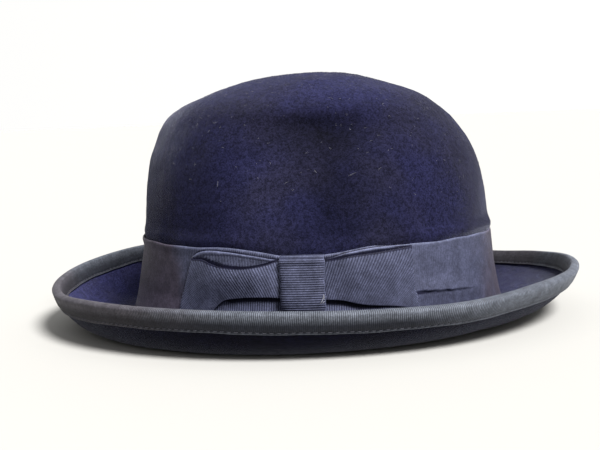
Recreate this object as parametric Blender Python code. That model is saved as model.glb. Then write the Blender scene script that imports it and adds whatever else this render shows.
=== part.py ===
"""Bowler hat of soft fur felt, size 58, lying on its brim.

The hat is an assembly of sewn layers: a felt body, ribbon trim outside, and a sweatband and
lining inside. Front of the hat is -X, its bow is on the wearer's left (-Y), +Z is up.
Z = 0 is the plane that the brim rests on. Lengths are in millimetres until make_object.
"""
import math

import bmesh
import bpy
import numpy as np

METRES = 0.001

# ---- driving dimensions -------------------------------------------------------------------
AROUND = 48                 # facets round the hat; every ring shares them, so gaps stay even
GAP = 0.3                   # clear space between touching layers
FELT = 2.5                  # felt thickness
RIBBON = 0.8                # grosgrain thickness
SATIN = 0.4                 # lining thickness
LEATHER = 1.0               # sweatband thickness

# Lines of the crown's outer face: height, then reach to the front, to the back and to a side.
CROWN_LINES = [
    (140.0, -5.0, 5.0, 0.0),
    (139.5, 10.5, 14.5, 9.5),
    (138.3, 24.0, 25.0, 17.0),
    (136.4, 35.0, 34.0, 25.0),
    (133.2, 47.0, 45.0, 34.0),
    (129.0, 59.5, 57.0, 43.0),
    (124.0, 72.0, 67.0, 51.0),
    (118.0, 81.5, 75.0, 58.5),
    (111.0, 86.7, 82.4, 65.0),
    (103.0, 90.3, 88.4, 71.0),
    (93.0, 94.0, 94.0, 76.0),
    (80.0, 96.6, 97.8, 80.0),
    (64.0, 98.3, 100.3, 83.0),
    (46.0, 98.5, 101.5, 84.5),
    (28.0, 101.4, 103.0, 86.0),
    (14.0, 104.2, 105.2, 88.0),
    (7.0, 106.2, 106.7, 89.8),
]
CROWN_SHIFT = 0.75          # the crown sits this far behind the middle of the brim
FOOT_FLARE = 15.0           # degrees that the wall leans at its foot
FOOT_Z = 7.0                # where the wall ends and the turn into the brim begins

RIM_HALF_LENGTH = 149.4
RIM_HALF_WIDTH = 130.0
FLAT_MEAN = 0.21            # part of the brim's width that lies flat
FLAT_FRONT = 0.376          # added to it at the front, taken off at the back
FLAT_SIDES = 0.172          # added at the sides, taken off at the front and the back
CURL = 0.938                # share of a quarter ellipse that the curl follows
SHORTEST_FLAT = 0.12        # the felt has a row of corners this far out or further
# Height of the brim's edge every 20 degrees, from the back round by the wearer's right.
RIM_HEIGHTS = [26.5, 23.2, 19.3, 20.8, 24.9, 28.8, 31.3, 30.8, 27.7,
               24.4, 22.5, 24.1, 24.6, 24.3, 23.3, 22.8, 25.4, 26.0]

DENT_DEPTH = 6.0            # shallow scoop in each side of the crown
DENT_X = 5.0
DENT_TOP, DENT_FULL, DENT_FADE, DENT_END = 124.0, 104.0, 100.0, 45.0
DENT_HALF_WIDTH = 38.0

BAND_BOTTOM = 7.6
BAND_TOP = 48.5
BAND_TOP_RISE = 1.0         # the ribbon stands higher at the front
BAND_DIP = 4.5              # its top edge is drawn down under the bow

BOW_CENTRE = -6.0
BOW_LEFT, BOW_RIGHT = -69.5, 51.5
BOW_KNOT_HALF = 11.0
BOW_Z_KNOT = (22.5, 43.5)   # lower and upper edge of the loops under the knot
BOW_Z_END = (17.0, 46.0)    # and at the folded ends
BOW_BULGE = 2.0             # how far the loops stand out half way along
BOW_GATHER = 2.6            # between the inner and the outer layer under the knot
KNOT_Z = (9.5, 45.3)

BINDING_WIDTH = 9.5         # grosgrain on each face of the brim
BINDING_THICK = 0.7
THREAD = 0.5                # diameter

SWEATBAND_TOP = 42.0
REED_DIAMETER = 1.6
REED_Z = 3.4
TAPE = 0.35
DOME_ROWS = 14              # rows of facets down the crown, shared by felt and lining
LINING_SEAM_ROW = 6         # row of the seam between the lining's tip and side wall
LINING_LAST_ROW = 11        # row where the lining ends, behind the sweatband
LINING_SLACK = 0.9          # the lining hangs this much off the felt


# ---- the hat's surface --------------------------------------------------------------------
def smooth(value):
    """Ease from 0 to 1."""
    value = np.clip(value, 0.0, 1.0)
    return value * value * (3.0 - 2.0 * value)


def crown_table(count=600):
    """Dense rows of height, front, back and side reach along a smooth curve."""
    rows = np.array(CROWN_LINES, float)
    steps = np.sqrt(np.linalg.norm(np.diff(rows[:, [0, 2]], axis=0), axis=1))
    knots = np.concatenate([[0.0], np.cumsum(steps)])
    slope = np.diff(rows, axis=0) / np.diff(knots)[:, None]
    tangent = np.empty_like(rows)
    before, after = np.diff(knots)[:-1, None], np.diff(knots)[1:, None]
    tangent[1:-1] = (slope[1:] * before + slope[:-1] * after) / (before + after)
    tangent[0] = slope[0] * [0.0, 1.0, 1.0, 1.0]
    tangent[-1] = slope[-1]
    at = np.linspace(0.0, knots[-1], count)
    seg = np.clip(np.searchsorted(knots, at, side="right") - 1, 0, len(knots) - 2)
    span = (knots[seg + 1] - knots[seg])[:, None]
    part = (at - knots[seg])[:, None] / span
    return ((2 * part**3 - 3 * part**2 + 1) * rows[seg]
            + (part**3 - 2 * part**2 + part) * span * tangent[seg]
            + (3 * part**2 - 2 * part**3) * rows[seg + 1]
            + (part**3 - part**2) * span * tangent[seg + 1])


TABLE = crown_table()
STATION = np.linspace(0.0, 1.0, len(TABLE))
ARC_RADIUS = (FOOT_Z - FELT) / (1.0 - math.sin(math.radians(FOOT_FLARE)))
ARC_REACH = ARC_RADIUS * math.cos(math.radians(FOOT_FLARE))


def station_at(height):
    """Station of the crown wall at a height: 0 at the apex, 1 at its foot."""
    return np.interp(-np.asarray(height, float), -TABLE[:, 0], STATION)


def oval(station):
    """Centre, half length, half width and height of the crown's outline at a station."""
    height, front, back, side = (np.interp(station, STATION, TABLE[:, k]) for k in range(4))
    return CROWN_SHIFT + (back - front) / 2, (back + front) / 2, side, height


def rim_height(angle):
    """Height of the brim's edge, a closed smooth curve through RIM_HEIGHTS."""
    values = np.array(RIM_HEIGHTS)
    at = np.asarray(angle) / (2 * math.pi) * len(values)
    index = np.floor(at).astype(int)
    part = at - index
    a, b, c, d = (values[(index + k) % len(values)] for k in (-1, 0, 1, 2))
    return 0.5 * (2 * b + (c - a) * part + (2 * a - 5 * b + 4 * c - d) * part**2
                  + (3 * b - a - 3 * c + d) * part**3)


def flat_fraction(angle):
    """Part of the brim's width that lies flat; none at the back."""
    flat = FLAT_MEAN - FLAT_FRONT * np.cos(angle) - FLAT_SIDES * np.cos(2 * angle)
    return np.maximum(flat, 0.0)


def dent(x, z):
    """Depth of the side scoops."""
    rise = smooth((DENT_TOP - z) / (DENT_TOP - DENT_FULL))
    fade = smooth((z - DENT_END) / (DENT_FADE - DENT_END))
    reach = DENT_HALF_WIDTH * (0.45 + 0.55 * np.clip(z / DENT_TOP, 0.0, 1.0))
    return DENT_DEPTH * rise * fade * smooth(1.0 - np.abs(x - DENT_X) / reach)


def felt_face(angle, station):
    """Outer face of the felt. Station 0..1 crown, 1..2 turn at its foot, 2..3 brim."""
    angle, station = np.broadcast_arrays(np.asarray(angle, float), np.asarray(station, float))
    centre, length, width, height = oval(np.clip(station, 0.0, 1.0))
    x = centre + length * np.cos(angle)
    y = width * np.sin(angle)
    y = y - np.sign(y) * np.minimum(dent(x, height), np.abs(y))

    foot_centre, foot_length, foot_width, _ = oval(1.0)
    turn = math.radians(FOOT_FLARE) + np.clip(station - 1.0, 0.0, 1.0) \
        * (math.pi / 2 - math.radians(FOOT_FLARE))
    reach = ARC_REACH - ARC_RADIUS * np.cos(turn)
    turn_x = foot_centre + (foot_length + reach) * np.cos(angle)
    turn_y = (foot_width + reach) * np.sin(angle)
    turn_z = FELT + ARC_RADIUS * (1.0 - np.sin(turn))

    rim_part = np.clip(station - 2.0, 0.0, 1.0)
    flat = flat_fraction(angle)
    curl = CURL * np.clip((rim_part - flat) / (1.0 - flat), 0.0, 1.0)
    rise = (1.0 - np.sqrt(1.0 - curl**2)) / (1.0 - math.sqrt(1.0 - CURL**2))
    inner_length, inner_width = foot_length + ARC_REACH, foot_width + ARC_REACH
    brim_x = foot_centre * (1.0 - rim_part) + np.cos(angle) \
        * (inner_length + rim_part * (RIM_HALF_LENGTH - inner_length))
    brim_y = np.sin(angle) * (inner_width + rim_part * (RIM_HALF_WIDTH - inner_width))
    brim_z = FELT + (rim_height(angle) - FELT) * rise

    on_crown, on_turn = station <= 1.0, station <= 2.0
    return np.stack([np.where(on_crown, x, np.where(on_turn, turn_x, brim_x)),
                     np.where(on_crown, y, np.where(on_turn, turn_y, brim_y)),
                     np.where(on_crown, height, np.where(on_turn, turn_z, brim_z))], axis=-1)


def felt_normal(angle, station):
    """Unit normal of the outer face."""
    small = 1e-4
    station = np.clip(station, small, 3.0 - small)
    along = felt_face(angle, station + small) - felt_face(angle, station - small)
    around = felt_face(angle + small, station) - felt_face(angle - small, station)
    normal = np.cross(along, around)
    return normal / np.linalg.norm(normal, axis=-1, keepdims=True)


def layer(angle, station, offset):
    """A point at a distance outside (+) or inside (-) the felt's outer face."""
    return felt_face(angle, station) + felt_normal(angle, station) * np.asarray(offset)[..., None]


def station_from_rim(angle, distance):
    """Station on the brim that lies a distance in from its edge, along the felt."""
    fine = np.linspace(2.0, 3.0, 201)
    found = []
    for one in np.atleast_1d(angle):
        path = felt_face(one, fine)
        steps = np.linalg.norm(np.diff(path, axis=0), axis=1)
        to_rim = np.concatenate([np.cumsum(steps[::-1])[::-1], [0.0]])
        found.append(np.interp(-distance, -to_rim, fine))
    return np.array(found)


ANGLES = np.arange(AROUND) * 2 * math.pi / AROUND


# ---- mesh helpers -------------------------------------------------------------------------
def make_object(name, points, faces, material, parent):
    """A closed mesh object from points in millimetres."""
    mesh = bpy.data.meshes.new(name)
    bm = bmesh.new()
    verts = [bm.verts.new(tuple(float(value) * METRES for value in point)) for point in points]
    for face in faces:
        bm.faces.new([verts[index] for index in face])
    bmesh.ops.recalc_face_normals(bm, faces=bm.faces)
    if bm.calc_volume(signed=True) < 0.0:
        bmesh.ops.reverse_faces(bm, faces=bm.faces)
    bm.to_mesh(mesh)
    bm.free()
    mesh.materials.append(material)
    mesh.shade_smooth()
    mesh.set_sharp_from_angle(angle=math.radians(50))
    made = bpy.data.objects.new(name, mesh)
    bpy.context.scene.collection.objects.link(made)
    made.parent = parent
    return made


def grid_faces(rows, columns, close_rows=False, close_columns=True):
    """Quads of a grid of points, row by row."""
    faces = []
    for row in range(rows if close_rows else rows - 1):
        for column in range(columns if close_columns else columns - 1):
            next_row, next_column = (row + 1) % rows, (column + 1) % columns
            faces.append((row * columns + column, next_row * columns + column,
                          next_row * columns + next_column, row * columns + next_column))
    return faces


def make_ring(name, section, material, parent):
    """A closed hoop. section is a list of rings of points, one per corner of its section."""
    points = np.concatenate(section)
    return make_object(name, points, grid_faces(len(section), len(section[0]), close_rows=True),
                       material, parent)


def make_bar(name, sections, material, parent):
    """A bar with two capped ends from its cross sections, in order."""
    corners = len(sections[0])
    points = np.concatenate(sections)
    faces = grid_faces(len(sections), corners)
    last = (len(sections) - 1) * corners
    faces.append(tuple(range(corners)))
    faces.append(tuple(last + corner for corner in reversed(range(corners))))
    return make_object(name, points, faces, material, parent)


def make_dome(name, rings, outer_pole, inner_pole, material, parent):
    """A bowl whose rings run from its outer pole over the edge to its inner pole."""
    count = len(rings)
    points = np.concatenate([*rings, [outer_pole, inner_pole]])
    faces = grid_faces(count, AROUND)
    outer, inner = count * AROUND, count * AROUND + 1
    for column in range(AROUND):
        next_column = (column + 1) % AROUND
        faces.append((outer, column, next_column))
        last = (count - 1) * AROUND
        faces.append((inner, last + next_column, last + column))
    return make_object(name, points, faces, material, parent)


def make_material(name, colour, roughness, metallic=0.0):
    """A plain Principled material."""
    material = bpy.data.materials.new(name)
    material.use_nodes = True
    shader = material.node_tree.nodes["Principled BSDF"]
    shader.inputs["Base Color"].default_value = (*colour, 1.0)
    shader.inputs["Roughness"].default_value = roughness
    shader.inputs["Metallic"].default_value = metallic
    return material


# ---- felt ---------------------------------------------------------------------------------
def pole(offset):
    """The crown's highest point, on a layer."""
    apex = felt_face(0.0, 0.0)
    return apex + np.array([0.0, 0.0, offset])


def dome_stations():
    """Stations down the crown, from the first ring below the pole to the foot of the wall."""
    return np.linspace(0.0, 1.0, DOME_ROWS + 1)[1:]


def station_ring(station, offset):
    return layer(ANGLES, np.full(AROUND, station), np.full(AROUND, offset))


def make_felt_body(material, parent):
    """Crown and brim, one blocked hood of felt."""
    stations = [np.full(AROUND, value) for value in dome_stations()]
    stations.append(np.full(AROUND, 1.5))
    stations.append(np.full(AROUND, 2.0))
    flat_end = 2.0 + np.maximum(flat_fraction(ANGLES), SHORTEST_FLAT)
    edge_of_binding = station_from_rim(ANGLES, BINDING_WIDTH)
    stations.append(flat_end)
    stations.append((flat_end + edge_of_binding) / 2)
    stations.append(edge_of_binding)
    stations.append(station_from_rim(ANGLES, BINDING_WIDTH / 2))
    stations.append(np.full(AROUND, 3.0))
    outer = [layer(ANGLES, station, np.zeros(AROUND)) for station in stations]
    inner = [layer(ANGLES, station, np.full(AROUND, -FELT)) for station in reversed(stations)]
    return make_dome("felt_body", outer + inner, pole(0.0), pole(-FELT), material, parent)


# ---- ribbon outside -----------------------------------------------------------------------
def band_top(angle):
    """Height of the ribbon's upper edge, drawn down where the bow gathers it."""
    bow_angle = angle_at_x(BOW_CENTRE, BAND_TOP)
    from_bow = (np.asarray(angle) - bow_angle + math.pi) % (2 * math.pi) - math.pi
    dip = BAND_DIP * smooth(1.0 - np.abs(from_bow) / 0.42)
    return BAND_TOP - BAND_TOP_RISE * np.cos(angle) - dip


def make_crown_band(material, parent):
    """The ribbon round the foot of the crown."""
    top = band_top(ANGLES)
    levels = [BAND_BOTTOM + (top - BAND_BOTTOM) * part for part in (0.0, 1 / 3, 2 / 3, 1.0)]
    stations = [station_at(level) for level in levels]
    outer = [layer(ANGLES, station, np.full(AROUND, GAP + RIBBON)) for station in stations]
    inner = [layer(ANGLES, station, np.full(AROUND, GAP)) for station in reversed(stations)]
    return make_ring("crown_ribbon_band", outer + inner, material, parent)


def angle_at_x(x, height):
    """Angle, on the wearer's left, of the wall point at a given x and height."""
    centre, length, _, _ = oval(station_at(height))
    return 2 * math.pi - np.arccos(np.clip((x - centre) / length, -1.0, 1.0))


def angle_at_y(y, height):
    """Angle, at the back, of the wall point at a given y and height."""
    _, _, width, _ = oval(station_at(height))
    return np.arcsin(np.clip(y / width, -1.0, 1.0))


def make_loops(name, ends, centre, flat, edges, offsets, bulge, thick, place, material, parent):
    """One ribbon folded flat into two loops: an inner layer, an outer layer and two folds.

    ends are the positions of the two folds along the band and flat half the length under the
    knot. edges gives the lower and upper edge at a position, offsets the faces of the layer
    against the hat and of the gathered layer.
    """
    back_offset, front_offset = offsets
    sign = 1.0 if front_offset > back_offset else -1.0
    left, right = ends
    across = np.linspace(left + 2.5, right - 2.5, 16)

    def front_side(position):
        reach = centre - left if position < centre else right - centre
        part = np.clip((abs(position - centre) - flat) / (reach - flat), 0.0, 1.0)
        return front_offset + sign * bulge * np.sin(math.pi * part) ** 2

    middle = (back_offset + sign * thick + front_offset) / 2
    route = []
    for position in across:
        offset = front_side(position)
        route.append((position, offset + sign * thick, position, offset))
    route.append((right, middle, right - thick, middle))
    for position in across[::-1]:
        route.append((position, back_offset, position, back_offset + sign * thick))
    route.append((left, middle, left + thick, middle))
    corners = [[], [], [], []]
    for outer_at, outer_offset, inner_at, inner_offset in route:
        low, high = edges(outer_at)
        corners[0].append(place(outer_at, low, outer_offset))
        corners[1].append(place(outer_at, high, outer_offset))
        corners[2].append(place(inner_at, high, inner_offset))
        corners[3].append(place(inner_at, low, inner_offset))
    return make_ring(name, [np.array(ring) for ring in corners], material, parent)


def place_outside(x, height, offset):
    angle = angle_at_x(x, height)
    return layer(angle, station_at(height), np.float64(offset))


def place_at_back(y, height, offset):
    angle = angle_at_y(y, height)
    return layer(angle, station_at(height), np.float64(offset))


def bow_edges(x):
    """Lower and upper edge of the bow's loops: gathered at the knot, wide at the folds."""
    reach = np.where(x < BOW_CENTRE, BOW_CENTRE - BOW_LEFT, BOW_RIGHT - BOW_CENTRE)
    spread = smooth((abs(x - BOW_CENTRE) - BOW_KNOT_HALF) / (reach - BOW_KNOT_HALF))
    return tuple(knot + (end - knot) * spread for knot, end in zip(BOW_Z_KNOT, BOW_Z_END))


def make_bow_loops(material, parent):
    on_band = 2 * GAP + RIBBON
    return make_loops("bow_loops", (BOW_LEFT, BOW_RIGHT), BOW_CENTRE, BOW_KNOT_HALF + 1.0,
                      bow_edges, (on_band, on_band + BOW_GATHER), BOW_BULGE, RIBBON,
                      place_outside, material, parent)


def make_knot(name, centre, half, heights, offsets, taper, thick, place, material, parent):
    """A strap over the loops, turned in at its upper and lower end."""
    base, face = offsets
    sign = 1.0 if face > base else -1.0
    low, high = heights
    taper_z = low + 0.3 * (high - low)
    path = [(low, base), (low, face - sign * taper), (taper_z, face), (high - thick, face),
            (high, face - sign * thick / 2), (high, base)]
    inner = [(high - thick, base), (high - thick, face - sign * thick),
             (taper_z, face - sign * thick), (low + thick, face - sign * (taper + thick)),
             (low + thick, base)]
    sections = [np.array([place(centre + side * half, height, offset)
                          for height, offset in path + inner]) for side in (-1.0, 0.0, 1.0)]
    return make_bar(name, sections, material, parent)


def make_bow_knot(material, parent):
    on_band = 2 * GAP + RIBBON
    face = on_band + BOW_GATHER + RIBBON + GAP + RIBBON
    return make_knot("bow_knot", BOW_CENTRE, BOW_KNOT_HALF, KNOT_Z, (on_band, face),
                     2.0, RIBBON, place_outside, material, parent)


def make_brim_binding(material, parent):
    """Ribbon folded over the brim's edge, with a U-shaped section."""
    near, far = GAP, GAP + BINDING_THICK
    edge = felt_face(ANGLES, 3.0)
    normal = felt_normal(ANGLES, np.full(AROUND, 3.0))
    inward = felt_face(ANGLES, 2.99) - edge
    outward = -inward / np.linalg.norm(inward, axis=1, keepdims=True)
    stations = [station_from_rim(ANGLES, BINDING_WIDTH - GAP),
                station_from_rim(ANGLES, BINDING_WIDTH / 2), np.full(AROUND, 3.0)]

    def tip(rise, reach):
        return edge + normal * rise + outward * reach

    upper = [layer(ANGLES, station, np.full(AROUND, far)) for station in stations]
    lower = [layer(ANGLES, station, np.full(AROUND, -FELT - far)) for station in stations]
    section = upper + [tip(-FELT / 2, far + 0.4)] + lower[::-1]
    section += [layer(ANGLES, station, np.full(AROUND, -FELT - near)) for station in stations[:2]]
    section += [tip(-FELT - near, near), tip(near, near)]
    section += [layer(ANGLES, station, np.full(AROUND, near)) for station in stations[1::-1]]
    return make_ring("brim_binding", section, material, parent)


def make_thread(name, station, offset, material, parent):
    """A line of thread round the hat, with a three-cornered section."""
    radius = THREAD / 2
    centre = layer(ANGLES, station, np.full(AROUND, offset))
    normal = felt_normal(ANGLES, station)
    along = np.roll(centre, -1, axis=0) - np.roll(centre, 1, axis=0)
    side = np.cross(along, normal)
    side /= np.linalg.norm(side, axis=1, keepdims=True)
    section = []
    for corner in range(3):
        turn = corner * 2 * math.pi / 3 + math.pi / 2
        section.append(centre + radius * (math.cos(turn) * side + math.sin(turn) * normal))
    return make_ring(name, section, material, parent)


def make_binding_stitches(material, parent):
    station = station_from_rim(ANGLES, BINDING_WIDTH - 1.2)
    return make_thread("brim_binding_stitches", station, 2 * GAP + BINDING_THICK + THREAD / 2,
                       material, parent)


# ---- inside -------------------------------------------------------------------------------
LEATHER_OUT = -(FELT + 2 * GAP + SATIN)
LEATHER_IN = LEATHER_OUT - LEATHER
REED_OFFSET = (LEATHER_OUT + LEATHER_IN) / 2


def ring_at(height, offset):
    return layer(ANGLES, station_at(np.full(AROUND, height)), np.full(AROUND, offset))


def foot_ring(offset, height):
    """A ring near the foot of the wall, set in from the wall's foot in plan."""
    foot = felt_face(ANGLES, 1.0)
    normal = felt_normal(ANGLES, np.full(AROUND, 0.999))
    normal[:, 2] = 0.0
    normal /= np.linalg.norm(normal, axis=1, keepdims=True)
    ring = foot + normal * offset
    ring[:, 2] = height
    return ring


def make_sweatband(material, parent):
    """The leather band that the head touches."""
    heights = (7.0, 18.0, 30.0, SWEATBAND_TOP)
    outer = [ring_at(height, LEATHER_OUT) for height in heights]
    inner = [ring_at(height, LEATHER_IN) for height in reversed(heights)]
    return make_ring("sweatband", outer + inner, material, parent)


def make_reed(material, parent):
    radius = REED_DIAMETER / 2
    section = [foot_ring(REED_OFFSET + radius * math.cos(turn), REED_Z + radius * math.sin(turn))
               for turn in (math.radians(60 * step) for step in range(6))]
    return make_ring("sweatband_reed", section, material, parent)


def make_reed_tape(material, parent):
    """Tape folded under the reed, with a leg on each face of the sweatband's lower edge."""
    clear = REED_DIAMETER / 2 + GAP + 0.1
    turns = [math.radians(angle) for angle in (20, -50, -130, -200)]
    leg_top = 11.0
    outer_leg, inner_leg = LEATHER_OUT + GAP, LEATHER_IN - GAP
    section = [ring_at(leg_top, outer_leg + TAPE)]
    section += [foot_ring(REED_OFFSET + (clear + TAPE) * math.cos(turn),
                          REED_Z + (clear + TAPE) * math.sin(turn)) for turn in turns]
    section += [ring_at(leg_top, inner_leg - TAPE), ring_at(leg_top, inner_leg)]
    section += [foot_ring(REED_OFFSET + clear * math.cos(turn),
                          REED_Z + clear * math.sin(turn)) for turn in reversed(turns)]
    section += [ring_at(leg_top, outer_leg)]
    return make_ring("sweatband_reed_tape", section, material, parent)


def make_sweatband_stitches(material, parent):
    station = station_at(np.full(AROUND, 9.5))
    offset = LEATHER_IN - 2 * GAP - TAPE - THREAD / 2 - 0.1
    return make_thread("sweatband_stitches", station, offset, material, parent)


def make_lining_side(material, parent):
    """Satin round the inside of the crown, loose above the sweatband."""
    stations = dome_stations()[LINING_SEAM_ROW:LINING_LAST_ROW + 1]
    faces = np.full(len(stations), -FELT - GAP - LINING_SLACK)
    faces[-2:] = -FELT - GAP
    outer = [station_ring(station, face) for station, face in zip(stations, faces)]
    inner = [station_ring(station, face - SATIN) for station, face in zip(stations, faces)]
    return make_ring("lining_side_wall", outer + inner[::-1], material, parent)


def make_lining_tip(material, parent):
    """Satin disc at the top of the crown, sewn to the side wall."""
    stations = dome_stations()[:LINING_SEAM_ROW + 1]
    stations[-1] -= 0.004
    face = -FELT - GAP - LINING_SLACK
    outer = [station_ring(station, face) for station in stations]
    inner = [station_ring(station, face - SATIN) for station in stations[::-1]]
    return make_dome("lining_tip", outer + inner, pole(face), pole(face - SATIN), material, parent)


def make_sweatband_bow(material, parent):
    """The small bow that covers the sweatband's joint at the back."""
    base = LEATHER_IN - GAP
    thick = 0.5

    def edges(y):
        spread = smooth((abs(y) - 2.0) / 9.0)
        return 17.0 - 2.0 * spread, 22.0 + 2.0 * spread

    loops = make_loops("sweatband_bow_loops", (-13.0, 13.0), 0.0, 3.0, edges,
                       (base, base - 1.4), 0.6, thick, place_at_back, material, parent)
    knot = make_knot("sweatband_bow_knot", 0.0, 2.2, (15.2, 24.0),
                     (base, base - 1.4 - 2 * thick - GAP), 0.3, thick, place_at_back,
                     material, parent)
    return loops, knot


def make_size_tab(material, parent):
    """A small blank tab sewn to the sweatband beside its joint."""
    base = LEATHER_IN - GAP
    sections = []
    for y in (20.0, 27.0, 34.0):
        sections.append(np.array([place_at_back(y, 27.0, base), place_at_back(y, 38.0, base),
                                  place_at_back(y, 38.0, base - SATIN),
                                  place_at_back(y, 27.0, base - SATIN)]))
    return make_bar("size_tab", sections, material, parent)


# ---- the hat ------------------------------------------------------------------------------
def main():
    for old in list(bpy.data.objects):
        bpy.data.objects.remove(old, do_unlink=True)
    hat = bpy.data.objects.new("bowler_hat", None)
    bpy.context.scene.collection.objects.link(hat)

    felt = make_material("navy_fur_felt", (0.030, 0.031, 0.058), 0.95)
    ribbon = make_material("blue_grey_grosgrain", (0.085, 0.090, 0.125), 0.6)
    binding = make_material("binding_grosgrain", (0.085, 0.090, 0.115), 0.6)
    thread = make_material("navy_thread", (0.05, 0.05, 0.08), 0.7)
    leather = make_material("sweatband_leather", (0.09, 0.055, 0.035), 0.5)
    tape = make_material("reed_tape_cotton", (0.03, 0.03, 0.045), 0.85)
    plastic = make_material("reed_plastic", (0.6, 0.58, 0.5), 0.45)
    satin = make_material("lining_satin", (0.045, 0.048, 0.085), 0.35)
    label = make_material("size_tab_cloth", (0.55, 0.53, 0.47), 0.8)

    make_felt_body(felt, hat)
    make_crown_band(ribbon, hat)
    make_bow_loops(ribbon, hat)
    make_bow_knot(ribbon, hat)
    make_brim_binding(binding, hat)
    make_binding_stitches(thread, hat)
    make_sweatband(leather, hat)
    make_reed(plastic, hat)
    make_reed_tape(tape, hat)
    make_sweatband_stitches(thread, hat)
    make_sweatband_bow(ribbon, hat)
    make_lining_side(satin, hat)
    make_lining_tip(satin, hat)
    make_size_tab(label, hat)


main()
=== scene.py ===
"""Looks of the bowler hat: felt, ribbed ribbon, stitching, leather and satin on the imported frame.

Front of the hat is -X, the bow is on the wearer's left (-Y), +Z is up and the brim rests on Z = 0.
Lengths are in millimetres until a mesh is made, in the same frame as the solids.
"""
import math

import bpy
import numpy as np
from mathutils import Matrix


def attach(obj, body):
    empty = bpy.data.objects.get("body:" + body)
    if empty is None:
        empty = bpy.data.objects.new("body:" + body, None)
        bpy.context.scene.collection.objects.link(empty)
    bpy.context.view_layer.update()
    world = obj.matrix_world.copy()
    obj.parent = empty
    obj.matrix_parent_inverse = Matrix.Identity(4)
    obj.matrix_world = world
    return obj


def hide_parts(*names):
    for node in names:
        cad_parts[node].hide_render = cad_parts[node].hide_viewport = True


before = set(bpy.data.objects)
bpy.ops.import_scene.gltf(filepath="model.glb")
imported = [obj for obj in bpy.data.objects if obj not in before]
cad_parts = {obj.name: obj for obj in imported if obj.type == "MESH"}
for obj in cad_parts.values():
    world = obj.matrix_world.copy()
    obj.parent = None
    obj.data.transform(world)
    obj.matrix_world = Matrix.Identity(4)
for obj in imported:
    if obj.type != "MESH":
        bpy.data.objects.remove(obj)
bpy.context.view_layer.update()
METRES = 0.001

# ---- the hat's dimensions, as its solids have them ----------------------------------------
GAP = 0.3
FELT = 2.5
RIBBON = 0.8
SATIN = 0.4
LEATHER = 1.0

# Lines of the crown's outer face: height, then reach to the front, to the back and to a side.
CROWN_LINES = [
    (140.0, -5.0, 5.0, 0.0),
    (139.5, 10.5, 14.5, 9.5),
    (138.3, 24.0, 25.0, 17.0),
    (136.4, 35.0, 34.0, 25.0),
    (133.2, 47.0, 45.0, 34.0),
    (129.0, 59.5, 57.0, 43.0),
    (124.0, 72.0, 67.0, 51.0),
    (118.0, 81.5, 75.0, 58.5),
    (111.0, 86.7, 82.4, 65.0),
    (103.0, 90.3, 88.4, 71.0),
    (93.0, 94.0, 94.0, 76.0),
    (80.0, 96.6, 97.8, 80.0),
    (64.0, 98.3, 100.3, 83.0),
    (46.0, 98.5, 101.5, 84.5),
    (28.0, 101.4, 103.0, 86.0),
    (14.0, 104.2, 105.2, 88.0),
    (7.0, 106.2, 106.7, 89.8),
]
CROWN_SHIFT = 0.75
FOOT_FLARE = 15.0
FOOT_Z = 7.0
RIM_HALF_LENGTH = 149.4
RIM_HALF_WIDTH = 130.0
FLAT_MEAN = 0.21            # part of the brim's width that lies flat
FLAT_FRONT = 0.376          # added to it at the front, taken off at the back
FLAT_SIDES = 0.172          # added at the sides, taken off at the front and the back
CURL = 0.938                # share of a quarter ellipse that the curl follows
# Height of the brim's edge every 20 degrees, from the back round by the wearer's right.
RIM_HEIGHTS = [26.5, 23.2, 19.3, 20.8, 24.9, 28.8, 31.3, 30.8, 27.7,
               24.4, 22.5, 24.1, 24.6, 24.3, 23.3, 22.8, 25.4, 26.0]

DENT_DEPTH = 10.5
BAND_BOTTOM = 7.6
BAND_TOP = 48.5
BAND_TOP_RISE = 1.0
BAND_DIP = 4.0
BOW_CENTRE = -6.0
KNOT_HALF = 11.0
KNOT_Z = (9.5, 45.3)
BINDING_WIDTH = 9.5
BINDING_THICK = 0.7
SWEATBAND_TOP = 42.0
REED_Z = 3.4

RIB = 1.22                  # pitch of the grosgrain's ribs on band and bow
BINDING_RIB = 1.0
RIB_DEPTH = 0.28
LOOP_RIB = 1.32             # the same ribs, drawn apart where the loops are gathered
RIB_STEPS = 3               # mesh columns across one rib
STITCH = 3.5                # pitch of the binding's stitches


# ---- small numeric helpers ----------------------------------------------------------------
def smooth(value):
    """Ease from 0 to 1."""
    value = np.clip(value, 0.0, 1.0)
    return value * value * (3.0 - 2.0 * value)


def bell(value, width):
    """1 at zero, falling away on both sides."""
    return np.exp(-(value / width) ** 2)


def cubic(part, span, start, end, start_slope, end_slope):
    """A cubic between two values with given slopes, at a part 0 to 1 of the span."""
    return ((2 * part**3 - 3 * part**2 + 1) * start
            + (part**3 - 2 * part**2 + part) * span * start_slope
            + (3 * part**2 - 2 * part**3) * end
            + (part**3 - part**2) * span * end_slope)


def curve(points, at):
    """A smooth curve through (place, value) points, read at places."""
    places = np.array([point[0] for point in points], float)
    values = np.array([point[1] for point in points], float)
    slope = np.diff(values) / np.diff(places)
    tangent = np.concatenate([[slope[0]], (slope[1:] + slope[:-1]) / 2, [slope[-1]]])
    at = np.clip(np.asarray(at, float), places[0], places[-1])
    seg = np.clip(np.searchsorted(places, at, side="right") - 1, 0, len(places) - 2)
    span = places[seg + 1] - places[seg]
    part = (at - places[seg]) / span
    return cubic(part, span, values[seg], values[seg + 1], tangent[seg], tangent[seg + 1])


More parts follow.
